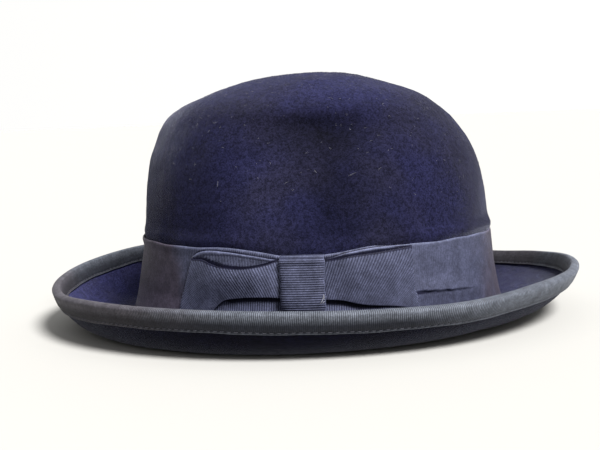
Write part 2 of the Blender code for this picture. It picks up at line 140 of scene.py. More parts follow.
def waves(points, length, seed, count=14):
    """Smooth random relief in space, about -1 to 1, with a given wave length."""
    rng = np.random.default_rng(seed)
    heading = rng.normal(size=(count, 3))
    heading /= np.linalg.norm(heading, axis=1, keepdims=True)
    rate = 2 * math.pi / length * rng.uniform(0.6, 1.5, count)
    phase = rng.uniform(0, 2 * math.pi, count)
    total = np.zeros(points.shape[:-1])
    for index in range(count):
        total += np.sin(points @ heading[index] * rate[index] + phase[index])
    return total / math.sqrt(count) * 0.9


def rib_profile(phase):
    """Height of a ribbed weave, 0 between the ribs and 1 on the rib."""
    return np.abs(np.sin(math.pi * phase)) ** 1.1


# ---- the hat's surface --------------------------------------------------------------------
def crown_table(count=1200):
    """Dense rows of height, front, back and side reach along a smooth curve."""
    rows = np.array(CROWN_LINES, float)
    steps = np.sqrt(np.linalg.norm(np.diff(rows[:, [0, 2]], axis=0), axis=1))
    knots = np.concatenate([[0.0], np.cumsum(steps)])
    slope = np.diff(rows, axis=0) / np.diff(knots)[:, None]
    tangent = np.empty_like(rows)
    before, after = np.diff(knots)[:-1, None], np.diff(knots)[1:, None]
    tangent[1:-1] = (slope[1:] * before + slope[:-1] * after) / (before + after)
    tangent[0] = slope[0] * [0.0, 1.0, 1.0, 1.0]
    tangent[-1] = slope[-1]
    at = np.linspace(0.0, knots[-1], count)
    seg = np.clip(np.searchsorted(knots, at, side="right") - 1, 0, len(knots) - 2)
    span = (knots[seg + 1] - knots[seg])[:, None]
    part = (at - knots[seg])[:, None] / span
    return cubic(part, span, rows[seg], rows[seg + 1], tangent[seg], tangent[seg + 1])


TABLE = crown_table()
STATION = np.linspace(0.0, 1.0, len(TABLE))
ARC_RADIUS = (FOOT_Z - FELT) / (1.0 - math.sin(math.radians(FOOT_FLARE)))
ARC_REACH = ARC_RADIUS * math.cos(math.radians(FOOT_FLARE))


def station_at(height):
    """Station of the crown wall at a height: 0 at the apex, 1 at its foot."""
    return np.interp(-np.asarray(height, float), -TABLE[:, 0], STATION)


def oval(station):
    """Centre, half length, half width and height of the crown's outline at a station."""
    height, front, back, side = (np.interp(station, STATION, TABLE[:, k]) for k in range(4))
    return CROWN_SHIFT + (back - front) / 2, (back + front) / 2, side, height


def rim_height(angle):
    """Height of the brim's edge, a closed smooth curve through RIM_HEIGHTS."""
    values = np.array(RIM_HEIGHTS)
    at = np.asarray(angle) / (2 * math.pi) * len(values)
    index = np.floor(at).astype(int)
    part = at - index
    a, b, c, d = (values[(index + k) % len(values)] for k in (-1, 0, 1, 2))
    return 0.5 * (2 * b + (c - a) * part + (2 * a - 5 * b + 4 * c - d) * part**2
                  + (3 * b - a - 3 * c + d) * part**3)


def flat_fraction(angle):
    """Part of the brim's width that lies flat; none at the back."""
    flat = FLAT_MEAN - FLAT_FRONT * np.cos(angle) - FLAT_SIDES * np.cos(2 * angle)
    return np.maximum(flat, 0.0)


def dent(x, z):
    """Depth of the scoop in each side: sharp above, then a valley that fades down the wall."""
    valley = 5.0 - 9.0 * smooth((110.0 - z) / 40.0)
    low = smooth((112.0 - z) / 30.0)
    away = x - valley
    width = np.where(away < 0.0, 31.0 + 6.0 * low, 33.0 - 15.0 * low)
    fade = curve([(44.0, 0.0), (55.0, 0.12), (70.0, 0.38), (90.0, 0.72), (107.0, 1.0)], z)
    return DENT_DEPTH * smooth((121.5 - z) / 14.0) * fade * np.exp(-np.abs(away / width) ** 2.6)


def felt_face(angle, station):
    """Outer face of the felt. Station 0..1 crown, 1..2 turn at its foot, 2..3 brim."""
    angle, station = np.broadcast_arrays(np.asarray(angle, float), np.asarray(station, float))
    centre, length, width, height = oval(np.clip(station, 0.0, 1.0))
    x = centre + length * np.cos(angle)
    y = width * np.sin(angle)
    y = y - np.sign(y) * np.minimum(dent(x, height), np.abs(y) * 0.9)

    foot_centre, foot_length, foot_width, _ = oval(1.0)
    turn = math.radians(FOOT_FLARE) + np.clip(station - 1.0, 0.0, 1.0) \
        * (math.pi / 2 - math.radians(FOOT_FLARE))
    reach = ARC_REACH - ARC_RADIUS * np.cos(turn)
    turn_x = foot_centre + (foot_length + reach) * np.cos(angle)
    turn_y = (foot_width + reach) * np.sin(angle)
    turn_z = FELT + ARC_RADIUS * (1.0 - np.sin(turn))

    rim_part = np.clip(station - 2.0, 0.0, 1.0)
    flat = flat_fraction(angle)
    curl = CURL * np.clip((rim_part - flat) / (1.0 - flat), 0.0, 1.0)
    rise = (1.0 - np.sqrt(1.0 - curl**2)) / (1.0 - math.sqrt(1.0 - CURL**2))
    inner_length, inner_width = foot_length + ARC_REACH, foot_width + ARC_REACH
    brim_x = foot_centre * (1.0 - rim_part) + np.cos(angle) \
        * (inner_length + rim_part * (RIM_HALF_LENGTH - inner_length))
    brim_y = np.sin(angle) * (inner_width + rim_part * (RIM_HALF_WIDTH - inner_width))
    brim_z = FELT + (rim_height(angle) - FELT) * rise

    on_crown, on_turn = station <= 1.0, station <= 2.0
    return np.stack([np.where(on_crown, x, np.where(on_turn, turn_x, brim_x)),
                     np.where(on_crown, y, np.where(on_turn, turn_y, brim_y)),
                     np.where(on_crown, height, np.where(on_turn, turn_z, brim_z))], axis=-1)


def felt_normal(angle, station):
    """Direction out of the felt's outer face."""
    small = 2e-4
    station = np.clip(station, small, 3.0 - small)
    along = felt_face(angle, station + small) - felt_face(angle, station - small)
    around = felt_face(angle + small, station) - felt_face(angle - small, station)
    normal = np.cross(along, around)
    return normal / np.maximum(np.linalg.norm(normal, axis=-1, keepdims=True), 1e-12)


def layer(angle, station, offset):
    """Points at a distance outside (+) or inside (-) the felt's outer face."""
    return felt_face(angle, station) + felt_normal(angle, station) * np.asarray(offset)[..., None]


def rim_distances(angles):
    """For each angle, stations along the brim and their distance from the rim."""
    fine = np.linspace(2.0, 3.0, 161)
    path = felt_face(angles[:, None], fine[None, :])
    steps = np.linalg.norm(np.diff(path, axis=1), axis=2)
    to_rim = np.concatenate([np.cumsum(steps[:, ::-1], axis=1)[:, ::-1],
                             np.zeros((len(angles), 1))], axis=1)
    return fine, to_rim


def stations_from_rim(angles, distances):
    """Stations at distances in from the rim; distances is one array per angle."""
    fine, to_rim = rim_distances(angles)
    return np.array([np.interp(-distance, -line, fine)
                     for distance, line in zip(distances, to_rim)])


def even_angles(count, station):
    """Angles that split the hat's outline at a station into even lengths."""
    dense = np.linspace(0.0, 2 * math.pi, 4001)
    path = felt_face(dense, np.full(dense.shape, station))
    run = np.concatenate([[0.0], np.cumsum(np.linalg.norm(np.diff(path, axis=0), axis=1))])
    return np.interp(np.arange(count) / count * run[-1], run, dense), run[-1]


def angle_at_x(x, height):
    """Angle, on the wearer's left, of the wall point at a given x and height."""
    centre, length, _, _ = oval(station_at(height))
    return 2 * math.pi - np.arccos(np.clip((x - centre) / length, -1.0, 1.0))


def on_wall(x, height, offset):
    """A point of the crown's left wall from its x, its height and its distance off the felt."""
    return layer(angle_at_x(x, height), station_at(height), offset)


def on_back_wall(y, height, offset):
    """The same at the back of the hat, from y."""
    station = station_at(height)
    angle = np.arcsin(np.clip(y / oval(station)[2], -1.0, 1.0))
    return layer(angle, station, offset)


# ---- mesh helpers -------------------------------------------------------------------------
def mesh_piece(name, points, quads, material, node, tris=(), attributes=None):
    """A smooth mesh piece that rides on the hat, from points in millimetres."""
    mesh = bpy.data.meshes.new(name)
    points = np.asarray(points, float).reshape(-1, 3) * METRES
    quads = np.asarray(quads, dtype=np.int32).reshape(-1, 4)
    tris = np.asarray(tris, dtype=np.int32).reshape(-1, 3)
    mesh.vertices.add(len(points))
    mesh.vertices.foreach_set("co", points.ravel())
    mesh.loops.add(quads.size + tris.size)
    mesh.loops.foreach_set("vertex_index", np.concatenate([quads.ravel(), tris.ravel()]))
    mesh.polygons.add(len(quads) + len(tris))
    starts = np.concatenate([np.arange(len(quads)) * 4,
                             quads.size + np.arange(len(tris)) * 3]).astype(np.int32)
    mesh.polygons.foreach_set("loop_start", starts)
    mesh.update(calc_edges=True)
    mesh.validate()
    mesh.shade_smooth()
    for label, values in (attributes or {}).items():
        data = mesh.attributes.new(label, "FLOAT", "POINT")
        data.data.foreach_set("value", np.asarray(values, np.float32).ravel())
    mesh.materials.append(material)
    made = bpy.data.objects.new(name, mesh)
    bpy.context.scene.collection.objects.link(made)
    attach(made, "root")
    if node:
        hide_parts(node)
    return made


def grid_quads(rows, columns, close_rows, close_columns):
    """Quads of a grid of points, closed on itself or open in each direction."""
    row = np.arange(rows if close_rows else rows - 1)[:, None]
    column = np.arange(columns if close_columns else columns - 1)[None, :]
    next_row, next_column = (row + 1) % rows, (column + 1) % columns
    corners = [row * columns + column, next_row * columns + column,
               next_row * columns + next_column, row * columns + next_column]
    return np.stack(np.broadcast_arrays(*corners), axis=-1).reshape(-1, 4)


def pole_fans(rows, around):
    """Triangles that close a stack of rings with the two points that follow them."""
    column = np.arange(around)
    following = (column + 1) % around
    last = (rows - 1) * around
    first_pole, last_pole = np.full(around, rows * around), np.full(around, rows * around + 1)
    return np.concatenate([np.stack([first_pole, column, following], axis=-1),
                           np.stack([last_pole, last + following, last + column], axis=-1)])


def sheet_normals(centre):
    """Direction square to a sheet, at each point of its grid."""
    normal = np.cross(np.gradient(centre, axis=0), np.gradient(centre, axis=1))
    return normal / np.maximum(np.linalg.norm(normal, axis=-1, keepdims=True), 1e-9)


def hoop(name, rings, material, node, attributes=None):
    """A closed hoop; rings[corner] is the ring of points of one corner of its section."""
    rings = np.asarray(rings)
    quads = grid_quads(rings.shape[0], rings.shape[1], True, True)
    return mesh_piece(name, rings, quads, material, node, attributes=attributes)


def strap(outer, inner):
    """Points and quads of a thick strap from two grids (columns along it, rows across it)."""
    section = np.concatenate([outer, inner[:, ::-1]], axis=1)
    columns, corners = section.shape[:2]
    quads = grid_quads(columns, corners, False, True)
    across = outer.shape[1]
    edge = np.arange(across - 1)
    caps = []
    for column in (0, columns - 1):
        base = column * corners
        cap = np.stack([base + edge, base + edge + 1,
                        base + corners - 2 - edge, base + corners - 1 - edge], axis=-1)
        caps.append(cap if column else cap[:, ::-1])
    return section.reshape(-1, 3), np.concatenate([quads, *caps])


def join(parts):
    """Points and quads of several meshes as one."""
    points, quads, start = [], [], 0
    for part_points, part_quads in parts:
        points.append(part_points)
        quads.append(part_quads + start)
        start += len(part_points)
    return np.concatenate(points), np.concatenate(quads)


def tube(path, radius, sides=8):
    """Points and quads of a tube along a short path, closed round its sides and open at its ends."""
    path = np.asarray(path, float)
    along = np.gradient(path, axis=0)
    along /= np.linalg.norm(along, axis=1, keepdims=True)
    helper = np.where(np.abs(along[:, 2:]) < 0.8, [[0.0, 0.0, 1.0]], [[1.0, 0.0, 0.0]])
    side = np.cross(along, helper)
    side /= np.linalg.norm(side, axis=1, keepdims=True)
    other = np.cross(along, side)
    turn = np.arange(sides) * 2 * math.pi / sides
    taper = np.asarray(radius) * np.ones(len(path))
    rings = path[:, None] + taper[:, None, None] * (np.cos(turn)[None, :, None] * side[:, None]
                                                    + np.sin(turn)[None, :, None] * other[:, None])
    return rings.reshape(-1, 3), grid_quads(len(path), sides, False, True)


# ---- materials ----------------------------------------------------------------------------
class Shader:
    """A node material with short calls for the nodes used here."""

    def __init__(self, name):
        self.material = bpy.data.materials.new(name)
        self.material.use_nodes = True
        self.tree = self.material.node_tree
        self.out = self.tree.nodes["Principled BSDF"]
        self.place = self.tree.nodes.new("ShaderNodeTexCoord").outputs["Object"]

    def node(self, kind, values=None, **settings):
        made = self.tree.nodes.new(kind)
        for key, value in settings.items():
            setattr(made, key, value)
        for key, value in (values or {}).items():
            if isinstance(value, bpy.types.NodeSocket):
                self.tree.links.new(value, made.inputs[key])
            else:
                made.inputs[key].default_value = value
        return made

    def math(self, operation, a, b=0.0, clamp=False):
        made = self.node("ShaderNodeMath", {0: a, 1: b}, operation=operation, use_clamp=clamp)
        return made.outputs[0]

    def noise(self, scale, detail=3.0, rough=0.55, vector=None):
        made = self.node("ShaderNodeTexNoise", {"Vector": vector or self.place, "Scale": scale,
                                                "Detail": detail, "Roughness": rough})
        return made.outputs["Fac"]

    def range(self, value, low, high, to_low=0.0, to_high=1.0):
        made = self.node("ShaderNodeMapRange", {"Value": value, "From Min": low, "From Max": high,
                                                "To Min": to_low, "To Max": to_high},
                         interpolation_type="SMOOTHSTEP")
        return made.outputs["Result"]

    def mix(self, amount, a, b):
        made = self.node("ShaderNodeMix", data_type="RGBA")
        for index, value in ((0, amount), (6, a), (7, b)):
            if isinstance(value, bpy.types.NodeSocket):
                self.tree.links.new(value, made.inputs[index])
            elif index:
                made.inputs[index].default_value = (*value, 1.0)
            else:
                made.inputs[index].default_value = value
        return made.outputs[2]

    def scale_colour(self, colour, amount):
        """Colour times a number."""
        made = self.node("ShaderNodeVectorMath", {0: colour, "Scale": amount}, operation="SCALE")
        return made.outputs["Vector"]

    def attribute(self, name):
        return self.node("ShaderNodeAttribute", attribute_name=name).outputs["Fac"]

    def bump(self, height, strength, distance):
        made = self.node("ShaderNodeBump", {"Height": height, "Strength": strength,
                                            "Distance": distance})
        self.tree.links.new(made.outputs["Normal"], self.out.inputs["Normal"])

    def set(self, **sockets):
        for key, value in sockets.items():
            socket = self.out.inputs[key.replace("_", " ")]
            if isinstance(value, bpy.types.NodeSocket):
                self.tree.links.new(value, socket)
            else:
                socket.default_value = value


def felt_material():
    """Brushed navy fur felt: cloudy nap, fine flecks, a few pale specks."""
    s = Shader("navy_fur_felt_look")
    cloud = s.noise(26.0, 2.0)
    patch = s.noise(120.0, 3.0)
    fleck = s.math("ADD", s.math("MULTIPLY", s.noise(1100.0, 2.0, 0.6), 0.6),
                   s.math("MULTIPLY", s.noise(430.0, 2.0, 0.6), 0.4))
    colour = s.mix(s.range(cloud, 0.35, 0.65), (0.0110, 0.0108, 0.0255), (0.0106, 0.0110, 0.0345))
    level = s.math("MULTIPLY", s.range(patch, 0.3, 0.7, 0.92, 1.08),
                   s.range(fleck, 0.34, 0.66, 0.50, 1.55))
    # The tone attribute darkens and lightens the felt with painted light and shade.
    level = s.math("MULTIPLY", level, s.attribute("tone"))
    colour = s.scale_colour(colour, level)
    cells = s.node("ShaderNodeTexVoronoi", {"Vector": s.place, "Scale": 520.0}).outputs
    near = s.range(cells["Distance"], 0.0, 0.16, 1.0, 0.0)
    pick = s.range(s.noise(260.0, 1.0), 0.60, 0.78)
    colour = s.mix(s.math("MULTIPLY", near, pick), colour, (0.05, 0.05, 0.08))
    s.set(Base_Color=colour, Roughness=0.95, Specular_IOR_Level=0.06, Sheen_Weight=0.30,
          Sheen_Roughness=0.27, Sheen_Tint=(0.76, 0.79, 0.98, 1.0))
    nap = s.math("ADD", s.math("MULTIPLY", fleck, 0.6), s.noise(2600.0, 2.0, 0.7))
    s.bump(nap, 0.6, 0.0006)
    return s.material


def ribbon_material(name, deep, ridge, brown_deep, brown_ridge, sheen):
    """Ribbed grosgrain: navy between the ribs, faded on them, with browner areas; its attribute also
    carries painted light and shade.
    """
    s = Shader(name)
    weave_and_painted_light = s.attribute("weave_and_painted_light")
    brown_tint = s.attribute("brown_tint")
    cloud = s.math("ADD", s.math("MULTIPLY", s.noise(60.0, 3.0), 0.5),
                   s.math("MULTIPLY", s.noise(170.0, 3.0), 0.4))
    browned = s.math("MULTIPLY", s.range(s.math("ADD", brown_tint, cloud), 0.55, 1.15),
                   s.range(brown_tint, 0.0, 0.5))
    # This attribute sets the ribs' contrast, partly the weave's colour and partly painted shade in
    # the grooves, and carries painted shadows and highlights; above 1 it lightens.
    on_rib = s.math("MULTIPLY", weave_and_painted_light, 1.0, clamp=True)
    colour = s.mix(browned, s.mix(on_rib, deep, ridge), s.mix(on_rib, brown_deep, brown_ridge))
    patch = s.noise(190.0, 4.0, 0.65)
    thread = s.noise(2400.0, 1.0)
    level = s.math("MULTIPLY", s.range(patch, 0.28, 0.72, 0.76, 1.24),
                   s.range(thread, 0.3, 0.7, 0.82, 1.18))
    level = s.math("MULTIPLY", level, s.range(s.noise(750.0, 2.0), 0.3, 0.7, 0.84, 1.16))
    level = s.math("MULTIPLY", level, s.math("MAXIMUM", weave_and_painted_light, 1.0))
    colour = s.scale_colour(colour, level)
    s.set(Base_Color=colour, Roughness=0.6, Specular_IOR_Level=0.14, Sheen_Weight=sheen,
          Sheen_Roughness=0.22, Sheen_Tint=(0.88, 0.88, 0.93, 1.0))
    s.bump(s.noise(3800.0, 2.0), 0.35, 0.0003)
    return s.material


def thread_material():
    s = Shader("navy_thread_look")
    twist = s.node("ShaderNodeTexWave", {"Vector": s.place, "Scale": 900.0, "Distortion": 1.0},
                   bands_direction="DIAGONAL").outputs["Fac"]
    s.set(Base_Color=s.mix(twist, (0.035, 0.036, 0.055), (0.10, 0.10, 0.13)), Roughness=0.6)
    s.bump(twist, 0.4, 0.0002)
    return s.material


def pale_thread_material():
    s = Shader("pale_thread_look")
    s.set(Base_Color=s.mix(s.noise(1500.0), (0.30, 0.31, 0.36), (0.62, 0.63, 0.68)), Roughness=0.7)
    return s.material


def leather_material():
    s = Shader("sweatband_leather_look")
    cells = s.node("ShaderNodeTexVoronoi", {"Vector": s.place, "Scale": 900.0},
                   feature="DISTANCE_TO_EDGE").outputs["Distance"]
    tone = s.noise(40.0, 4.0)
    colour = s.mix(s.range(tone, 0.35, 0.65), (0.070, 0.036, 0.020), (0.125, 0.070, 0.040))
    s.set(Base_Color=colour, Roughness=s.range(tone, 0.3, 0.7, 0.38, 0.55),
          Specular_IOR_Level=0.45)
    s.bump(s.math("ADD", s.range(cells, 0.0, 0.25), s.noise(300.0, 3.0)), 0.35, 0.0003)
    return s.material


def satin_material():
    s = Shader("lining_satin_look")
    weave = s.noise(5000.0, 1.0)
    tone = s.noise(35.0, 2.0)
    colour = s.mix(s.range(tone, 0.35, 0.65), (0.040, 0.042, 0.080), (0.062, 0.066, 0.115))
    s.set(Base_Color=colour, Roughness=0.34, Specular_IOR_Level=0.6, Sheen_Weight=0.2,
          Sheen_Tint=(0.7, 0.75, 1.0, 1.0))
    s.bump(weave, 0.2, 0.0001)
    return s.material


def cloth_material(name, low, high, scale):
    s = Shader(name)
    weave = s.node("ShaderNodeTexWave", {"Vector": s.place, "Scale": scale, "Distortion": 0.6},
                   bands_direction="Z").outputs["Fac"]
    s.set(Base_Color=s.mix(s.math("MULTIPLY", weave, s.noise(120.0)), low, high), Roughness=0.85,
          Sheen_Weight=0.2)
    s.bump(weave, 0.3, 0.0002)
    return s.material


def reed_material():
    s = Shader("reed_look")
    s.set(Base_Color=s.mix(s.noise(80.0), (0.50, 0.46, 0.36), (0.66, 0.62, 0.52)), Roughness=0.42)
    s.bump(s.noise(700.0), 0.1, 0.0002)
    return s.material


FELT_LOOK = felt_material()
RIBBON_LOOK = ribbon_material("blue_grey_grosgrain_look", (0.005, 0.005, 0.018),
                              (0.088, 0.096, 0.158), (0.023, 0.020, 0.031),
                              (0.067, 0.057, 0.084), 0.18)
BINDING_LOOK = ribbon_material("binding_grosgrain_look", (0.007, 0.008, 0.014),
                               (0.122, 0.134, 0.164), (0.014, 0.013, 0.017),
                               (0.092, 0.086, 0.102), 0.08)
LINT_LOOK = cloth_material("lint_look", (0.10, 0.10, 0.13), (0.28, 0.28, 0.33), 700.0)
THREAD_LOOK = thread_material()
PALE_THREAD_LOOK = pale_thread_material()
LEATHER_LOOK = leather_material()
SATIN_LOOK = satin_material()
TAPE_LOOK = cloth_material("reed_tape_look", (0.020, 0.020, 0.032), (0.050, 0.050, 0.072), 900.0)
TAB_LOOK = cloth_material("size_tab_look", (0.40, 0.38, 0.32), (0.62, 0.60, 0.53), 1200.0)
REED_LOOK = reed_material()


# ---- felt ---------------------------------------------------------------------------------
def felt_relief(points, angle, station):
    """How far the real felt stands off its even surface."""
    z = points[..., 2]
    on_crown = smooth((1.0 - station) * 40.0) * smooth((z - 49.0) / 7.0)
    on_brim = smooth((station - 2.05) * 8.0) * smooth((2.68 - station) * 8.0)
    soft = 0.3 * waves(points, 62.0, 1) + 0.16 * waves(points, 24.0, 2) \
        + 0.06 * waves(points, 8.0, 3)
    grain = 0.035 * waves(points, 2.6, 4)
    top = band_top(angle)
    over = z - top
    bulge = (0.9 + 0.9 * smooth(np.cos(angle))) * bell(over - 3.2, 3.4) * (over > -1.0)
    edge = 0.5 * waves(points * [1, 1, 0], 26.0, 6) * bell(over - 3.0, 4.0)
    crown = on_crown * (soft + grain) + np.where(station < 1.0, bulge + edge, 0.0)
    brim = on_brim * (0.35 * waves(points, 40.0, 5) + 0.08 * waves(points, 9.0, 7) + grain)
    return crown + brim


def painted_crown_shading(points):
    """Painted light and shade on the crown: shade in the dent, on its far wall and towards the
    front, light on its near wall and over the top.
    """
    x, z = points[..., 0], points[..., 2]
    low = smooth((z - 46.0) / 14.0)
    flank = 0.40 * bell(x + 25.0, 15.0) * low * smooth((104.0 - z) / 20.0)
    valley = 0.36 * bell(x - 13.0, 15.0) * low * smooth((118.0 - z) / 16.0)
    dent_roof = 0.40 * bell(x - 4.0, 30.0) * bell(z - 109.0, 9.0)
    temple = 0.18 * bell(x + 62.0, 20.0) * low
    top = 0.55 * smooth((z - 116.0) / 16.0)
    return 1.0 + flank + top - valley - dent_roof - temple


def band_top(angle):
    """Height of the ribbon's upper edge, drawn down where the bow gathers it."""
    bow_angle = angle_at_x(BOW_CENTRE, BAND_TOP)
    from_bow = (np.asarray(angle) - bow_angle + math.pi) % (2 * math.pi) - math.pi
    dip = BAND_DIP * smooth(1.0 - np.abs(from_bow) / 0.42)
    return BAND_TOP - BAND_TOP_RISE * np.cos(angle) - dip


def make_felt():
    """Crown and brim, one blocked hood of felt."""
    around = 360
    angles = np.arange(around) * 2 * math.pi / around
    crown = np.linspace(0.0, 1.0, 131)[1:]
    turn = 1.0 + np.linspace(0.0, 1.0, 8)[1:]
    brim = 2.0 + np.linspace(0.0, 1.0, 40)[1:]
    outer = np.concatenate([crown, turn, brim])
    inner = np.concatenate([brim[::-2], turn[::-1], crown[::-4]])
    grid = felt_face(angles[None, :], outer[:, None])
    normal = felt_normal(angles[None, :], outer[:, None])
    relief = felt_relief(grid, angles[None, :], outer[:, None])
    face = grid + normal * relief[..., None]
    back = layer(angles[None, :], inner[:, None] + 0 * angles[None, :],
                 np.full((len(inner), around), -FELT))
    back_relief = 0.25 * waves(back, 35.0, 8) * smooth((inner[:, None] - 2.0) * 6.0) \
        * smooth((2.7 - inner[:, None]) * 6.0)
    back[..., 2] += np.maximum(back_relief, 0.0)
    points = np.concatenate([face.reshape(-1, 3), back.reshape(-1, 3),
                             [felt_face(0.0, 0.0)], [felt_face(0.0, 0.0) - [0, 0, FELT]]])
    on_crown = smooth((1.1 - outer) * 10.0)[:, None]
    towards_front = smooth(-0.2 - np.cos(angles))[None, :]
    # Painted light on the brim's top, most towards the front, plus the crown's painted light and
    # shade.
    painted_outer_tone = 1.0 + (0.40 + 1.35 * towards_front) * smooth((outer - 1.0) / 1.0)[:, None] \
        + on_crown * (painted_crown_shading(grid) - 1.0)
    # Painted shade on the brim's underside, fading out round the turn into the crown.
    painted_under_shade = np.repeat(1.0 - 0.74 * smooth((inner - 1.0) / 1.0), around)
    tone = np.concatenate([painted_outer_tone.ravel(), painted_under_shade, [1.0, 1.0]])
    rows = len(outer) + len(inner)
    return mesh_piece("felt_hood", points, grid_quads(rows, around, False, True), FELT_LOOK,
                      "felt_body", tris=pole_fans(rows, around),
                      attributes={"tone": tone})


# ---- ribbon round the crown ---------------------------------------------------------------
CREASE_Z = 23.0
CREASE_X = (51.5, 92.0)


def crease_line(x):
    """How far along the crease an x is, and the crease's height there."""
    along = (x - CREASE_X[0]) / (CREASE_X[1] - CREASE_X[0])
    return along, CREASE_Z - 4.0 * along


def band_relief(points, z, left_side):
    """Slack of the band: slight waves, and one pressed crease behind the bow."""
    slack = 0.16 + 0.14 * waves(points * [1, 1, 0.4], 42.0, 11) \
        + 0.05 * waves(points * [1, 1, 0.4], 15.0, 12)
    along, line = crease_line(points[..., 0])
    reach = np.where(left_side & (along > 0.0), smooth((1.0 - along) * 1.6), 0.0) \
        * smooth(along * 7.0)
    above = z - line
    return slack + reach * 1.1 * smooth((above + 0.1) / 0.35) * bell(np.maximum(above, 0.0), 5.5)


def band_ribs(x, left_side):
    """How clearly the ribs show: most around the bow, little where the band is pressed flat."""
    around_bow = smooth((x + 72.0) / 14.0) * smooth((52.5 - x) / 6.0) * left_side
    return 0.24 + 0.76 * around_bow


def band_brown_tint(points):
    """Browner parts of the band: the front, and a strip at the back."""
    x = points[..., 0]
    near_side = smooth(-points[..., 1] / 20.0)
    front = smooth((-61.0 - x - 0.15 * (points[..., 2] - 28.0)) / (44.0 - 22.0 * near_side))
    back = 0.62 * smooth((x - 74.0) / 34.0)
    return np.maximum(front, back)


def band_shade(x, z, left_side):
    """Painted shade on the band: in the slots along the bow's upper edges, below its loops, in the
    crease and under it.
    """
    shade = np.zeros(x.shape)
    for loop in (LEFT_LOOP, RIGHT_LOOP):
        near, far = sorted((loop["knot"], loop["fold"][3][1]))
        inside = (x > near) & (x < far) & left_side
        top = curve(loop["back_top"], x)
        low = curve(loop["front_low"], x)
        away = np.abs(x - loop["knot"]) / abs(far - near)
        depth, end, taper = loop["wedge"]
        wedge = depth * smooth((end - away) / taper)
        painted_slot_shade = smooth((z - top + 0.9) / 0.4) * smooth((top + 0.9 - z) / 0.35)
        under = smooth((z - low + wedge + 0.2) / 0.7) * smooth(wedge) * (z < low + 2.5)
        shade = np.maximum(shade, inside * np.maximum(0.85 * painted_slot_shade, 0.95 * under))
    along, line = crease_line(x)
    width = 1.9 - 1.2 * along
    crease = smooth((z - line + width) / 0.35) * smooth((line + 0.1 - z) / 0.3) \
        * (along > -0.1) * smooth((1.0 - along) * 2.2) * (1.0 - 0.45 * smooth(along * 2.5))
    below = 0.3 * smooth((line - z) / 3.0) * smooth(along * 20.0 + 1.0) * smooth((1.2 - along) * 3.0)
    return np.maximum(shade, np.maximum(0.98 * crease, below) * left_side)


def make_band():
    """The ribbon round the crown, ribbed on its outer face, with a pale woven top edge that carries
    a painted highlight.
    """
    ribs = int(round(even_angles(8, station_at(28.0))[1] / RIB))
    columns = ribs * RIB_STEPS
    angles, _ = even_angles(columns, station_at(28.0))
    top = band_top(angles) + 0.25 * np.sin(angles * 9 + 1.0) + 0.15 * np.sin(angles * 23)
    marks = CREASE_Z - BAND_BOTTOM + np.array([-4.5, -3.9, -3.3, -2.7, -2.1, -1.5, -0.7, 0.3, 0.8])
    share = np.unique(np.concatenate([np.linspace(0.0, 1.0, 36), marks / (BAND_TOP - BAND_BOTTOM),
                                      [0.955, 0.97, 0.985]]))
    inner_share = np.linspace(0.0, 1.0, 6)

    def face(parts):
        z = BAND_BOTTOM + (top[None, :] - BAND_BOTTOM) * parts[:, None]
        angle = np.broadcast_to(angles[None, :], z.shape)
        station = station_at(z)
        base = felt_face(angle, station)
        left_side = base[..., 1] < 0.0
        flare = 1.2 * smooth(-np.cos(angle) * 2.0 - 0.8) * smooth((parts[:, None] - 0.86) / 0.14)
        return z, angle, station, base, left_side, band_relief(base, z, left_side), flare

    z, angle, station, base, left_side, relief, flare = face(share)
    rib = rib_profile(np.arange(columns) / RIB_STEPS)[None, :]
    edge = smooth((1.0 - share[:, None]) / 0.034)
    shown = band_ribs(base[..., 0], left_side)
    outer = layer(angle, station, GAP + RIBBON + relief + flare - 0.25 * (1 - edge)
                  + RIB_DEPTH * rib * edge * shown)
    # Rib contrast, partly the weave's colour and partly painted shade in the grooves, a little
    # darker past x = 50; then painted light on the band below the bow, where the loops' shadow
    # falls.
    look = 0.80 * (1.0 - shown * (1.0 - rib)) * (1.0 - 0.2 * smooth((base[..., 0] - 50.0) / 6.0))
    painted_light_below_bow = smooth((24.0 - z) / 4.0) * left_side * (base[..., 0] < 46.0)
    # A pale top edge: the woven selvedge, with a painted highlight on it.
    look = look * (1.0 + 0.6 * painted_light_below_bow) * edge + 1.25 * (1 - edge)
    # Painted shade in the bow's slots, below its loops and along the crease.
    look = look * (1.0 - band_shade(base[..., 0], z, left_side))
    _, angle, station, _, _, relief, flare = face(inner_share)
    inner = layer(angle, station, GAP + 0.5 * relief + flare)
    rings = np.concatenate([outer, inner[::-1]])
    weave_and_painted_light = np.concatenate([look, np.ones(inner.shape[:2])])
    return hoop("crown_ribbon", rings, RIBBON_LOOK, "crown_ribbon_band",
                attributes={"weave_and_painted_light": weave_and_painted_light, "brown_tint": band_brown_tint(rings)})


# ---- bow ----------------------------------------------------------------------------------
ON_BAND = 2 * GAP + RIBBON

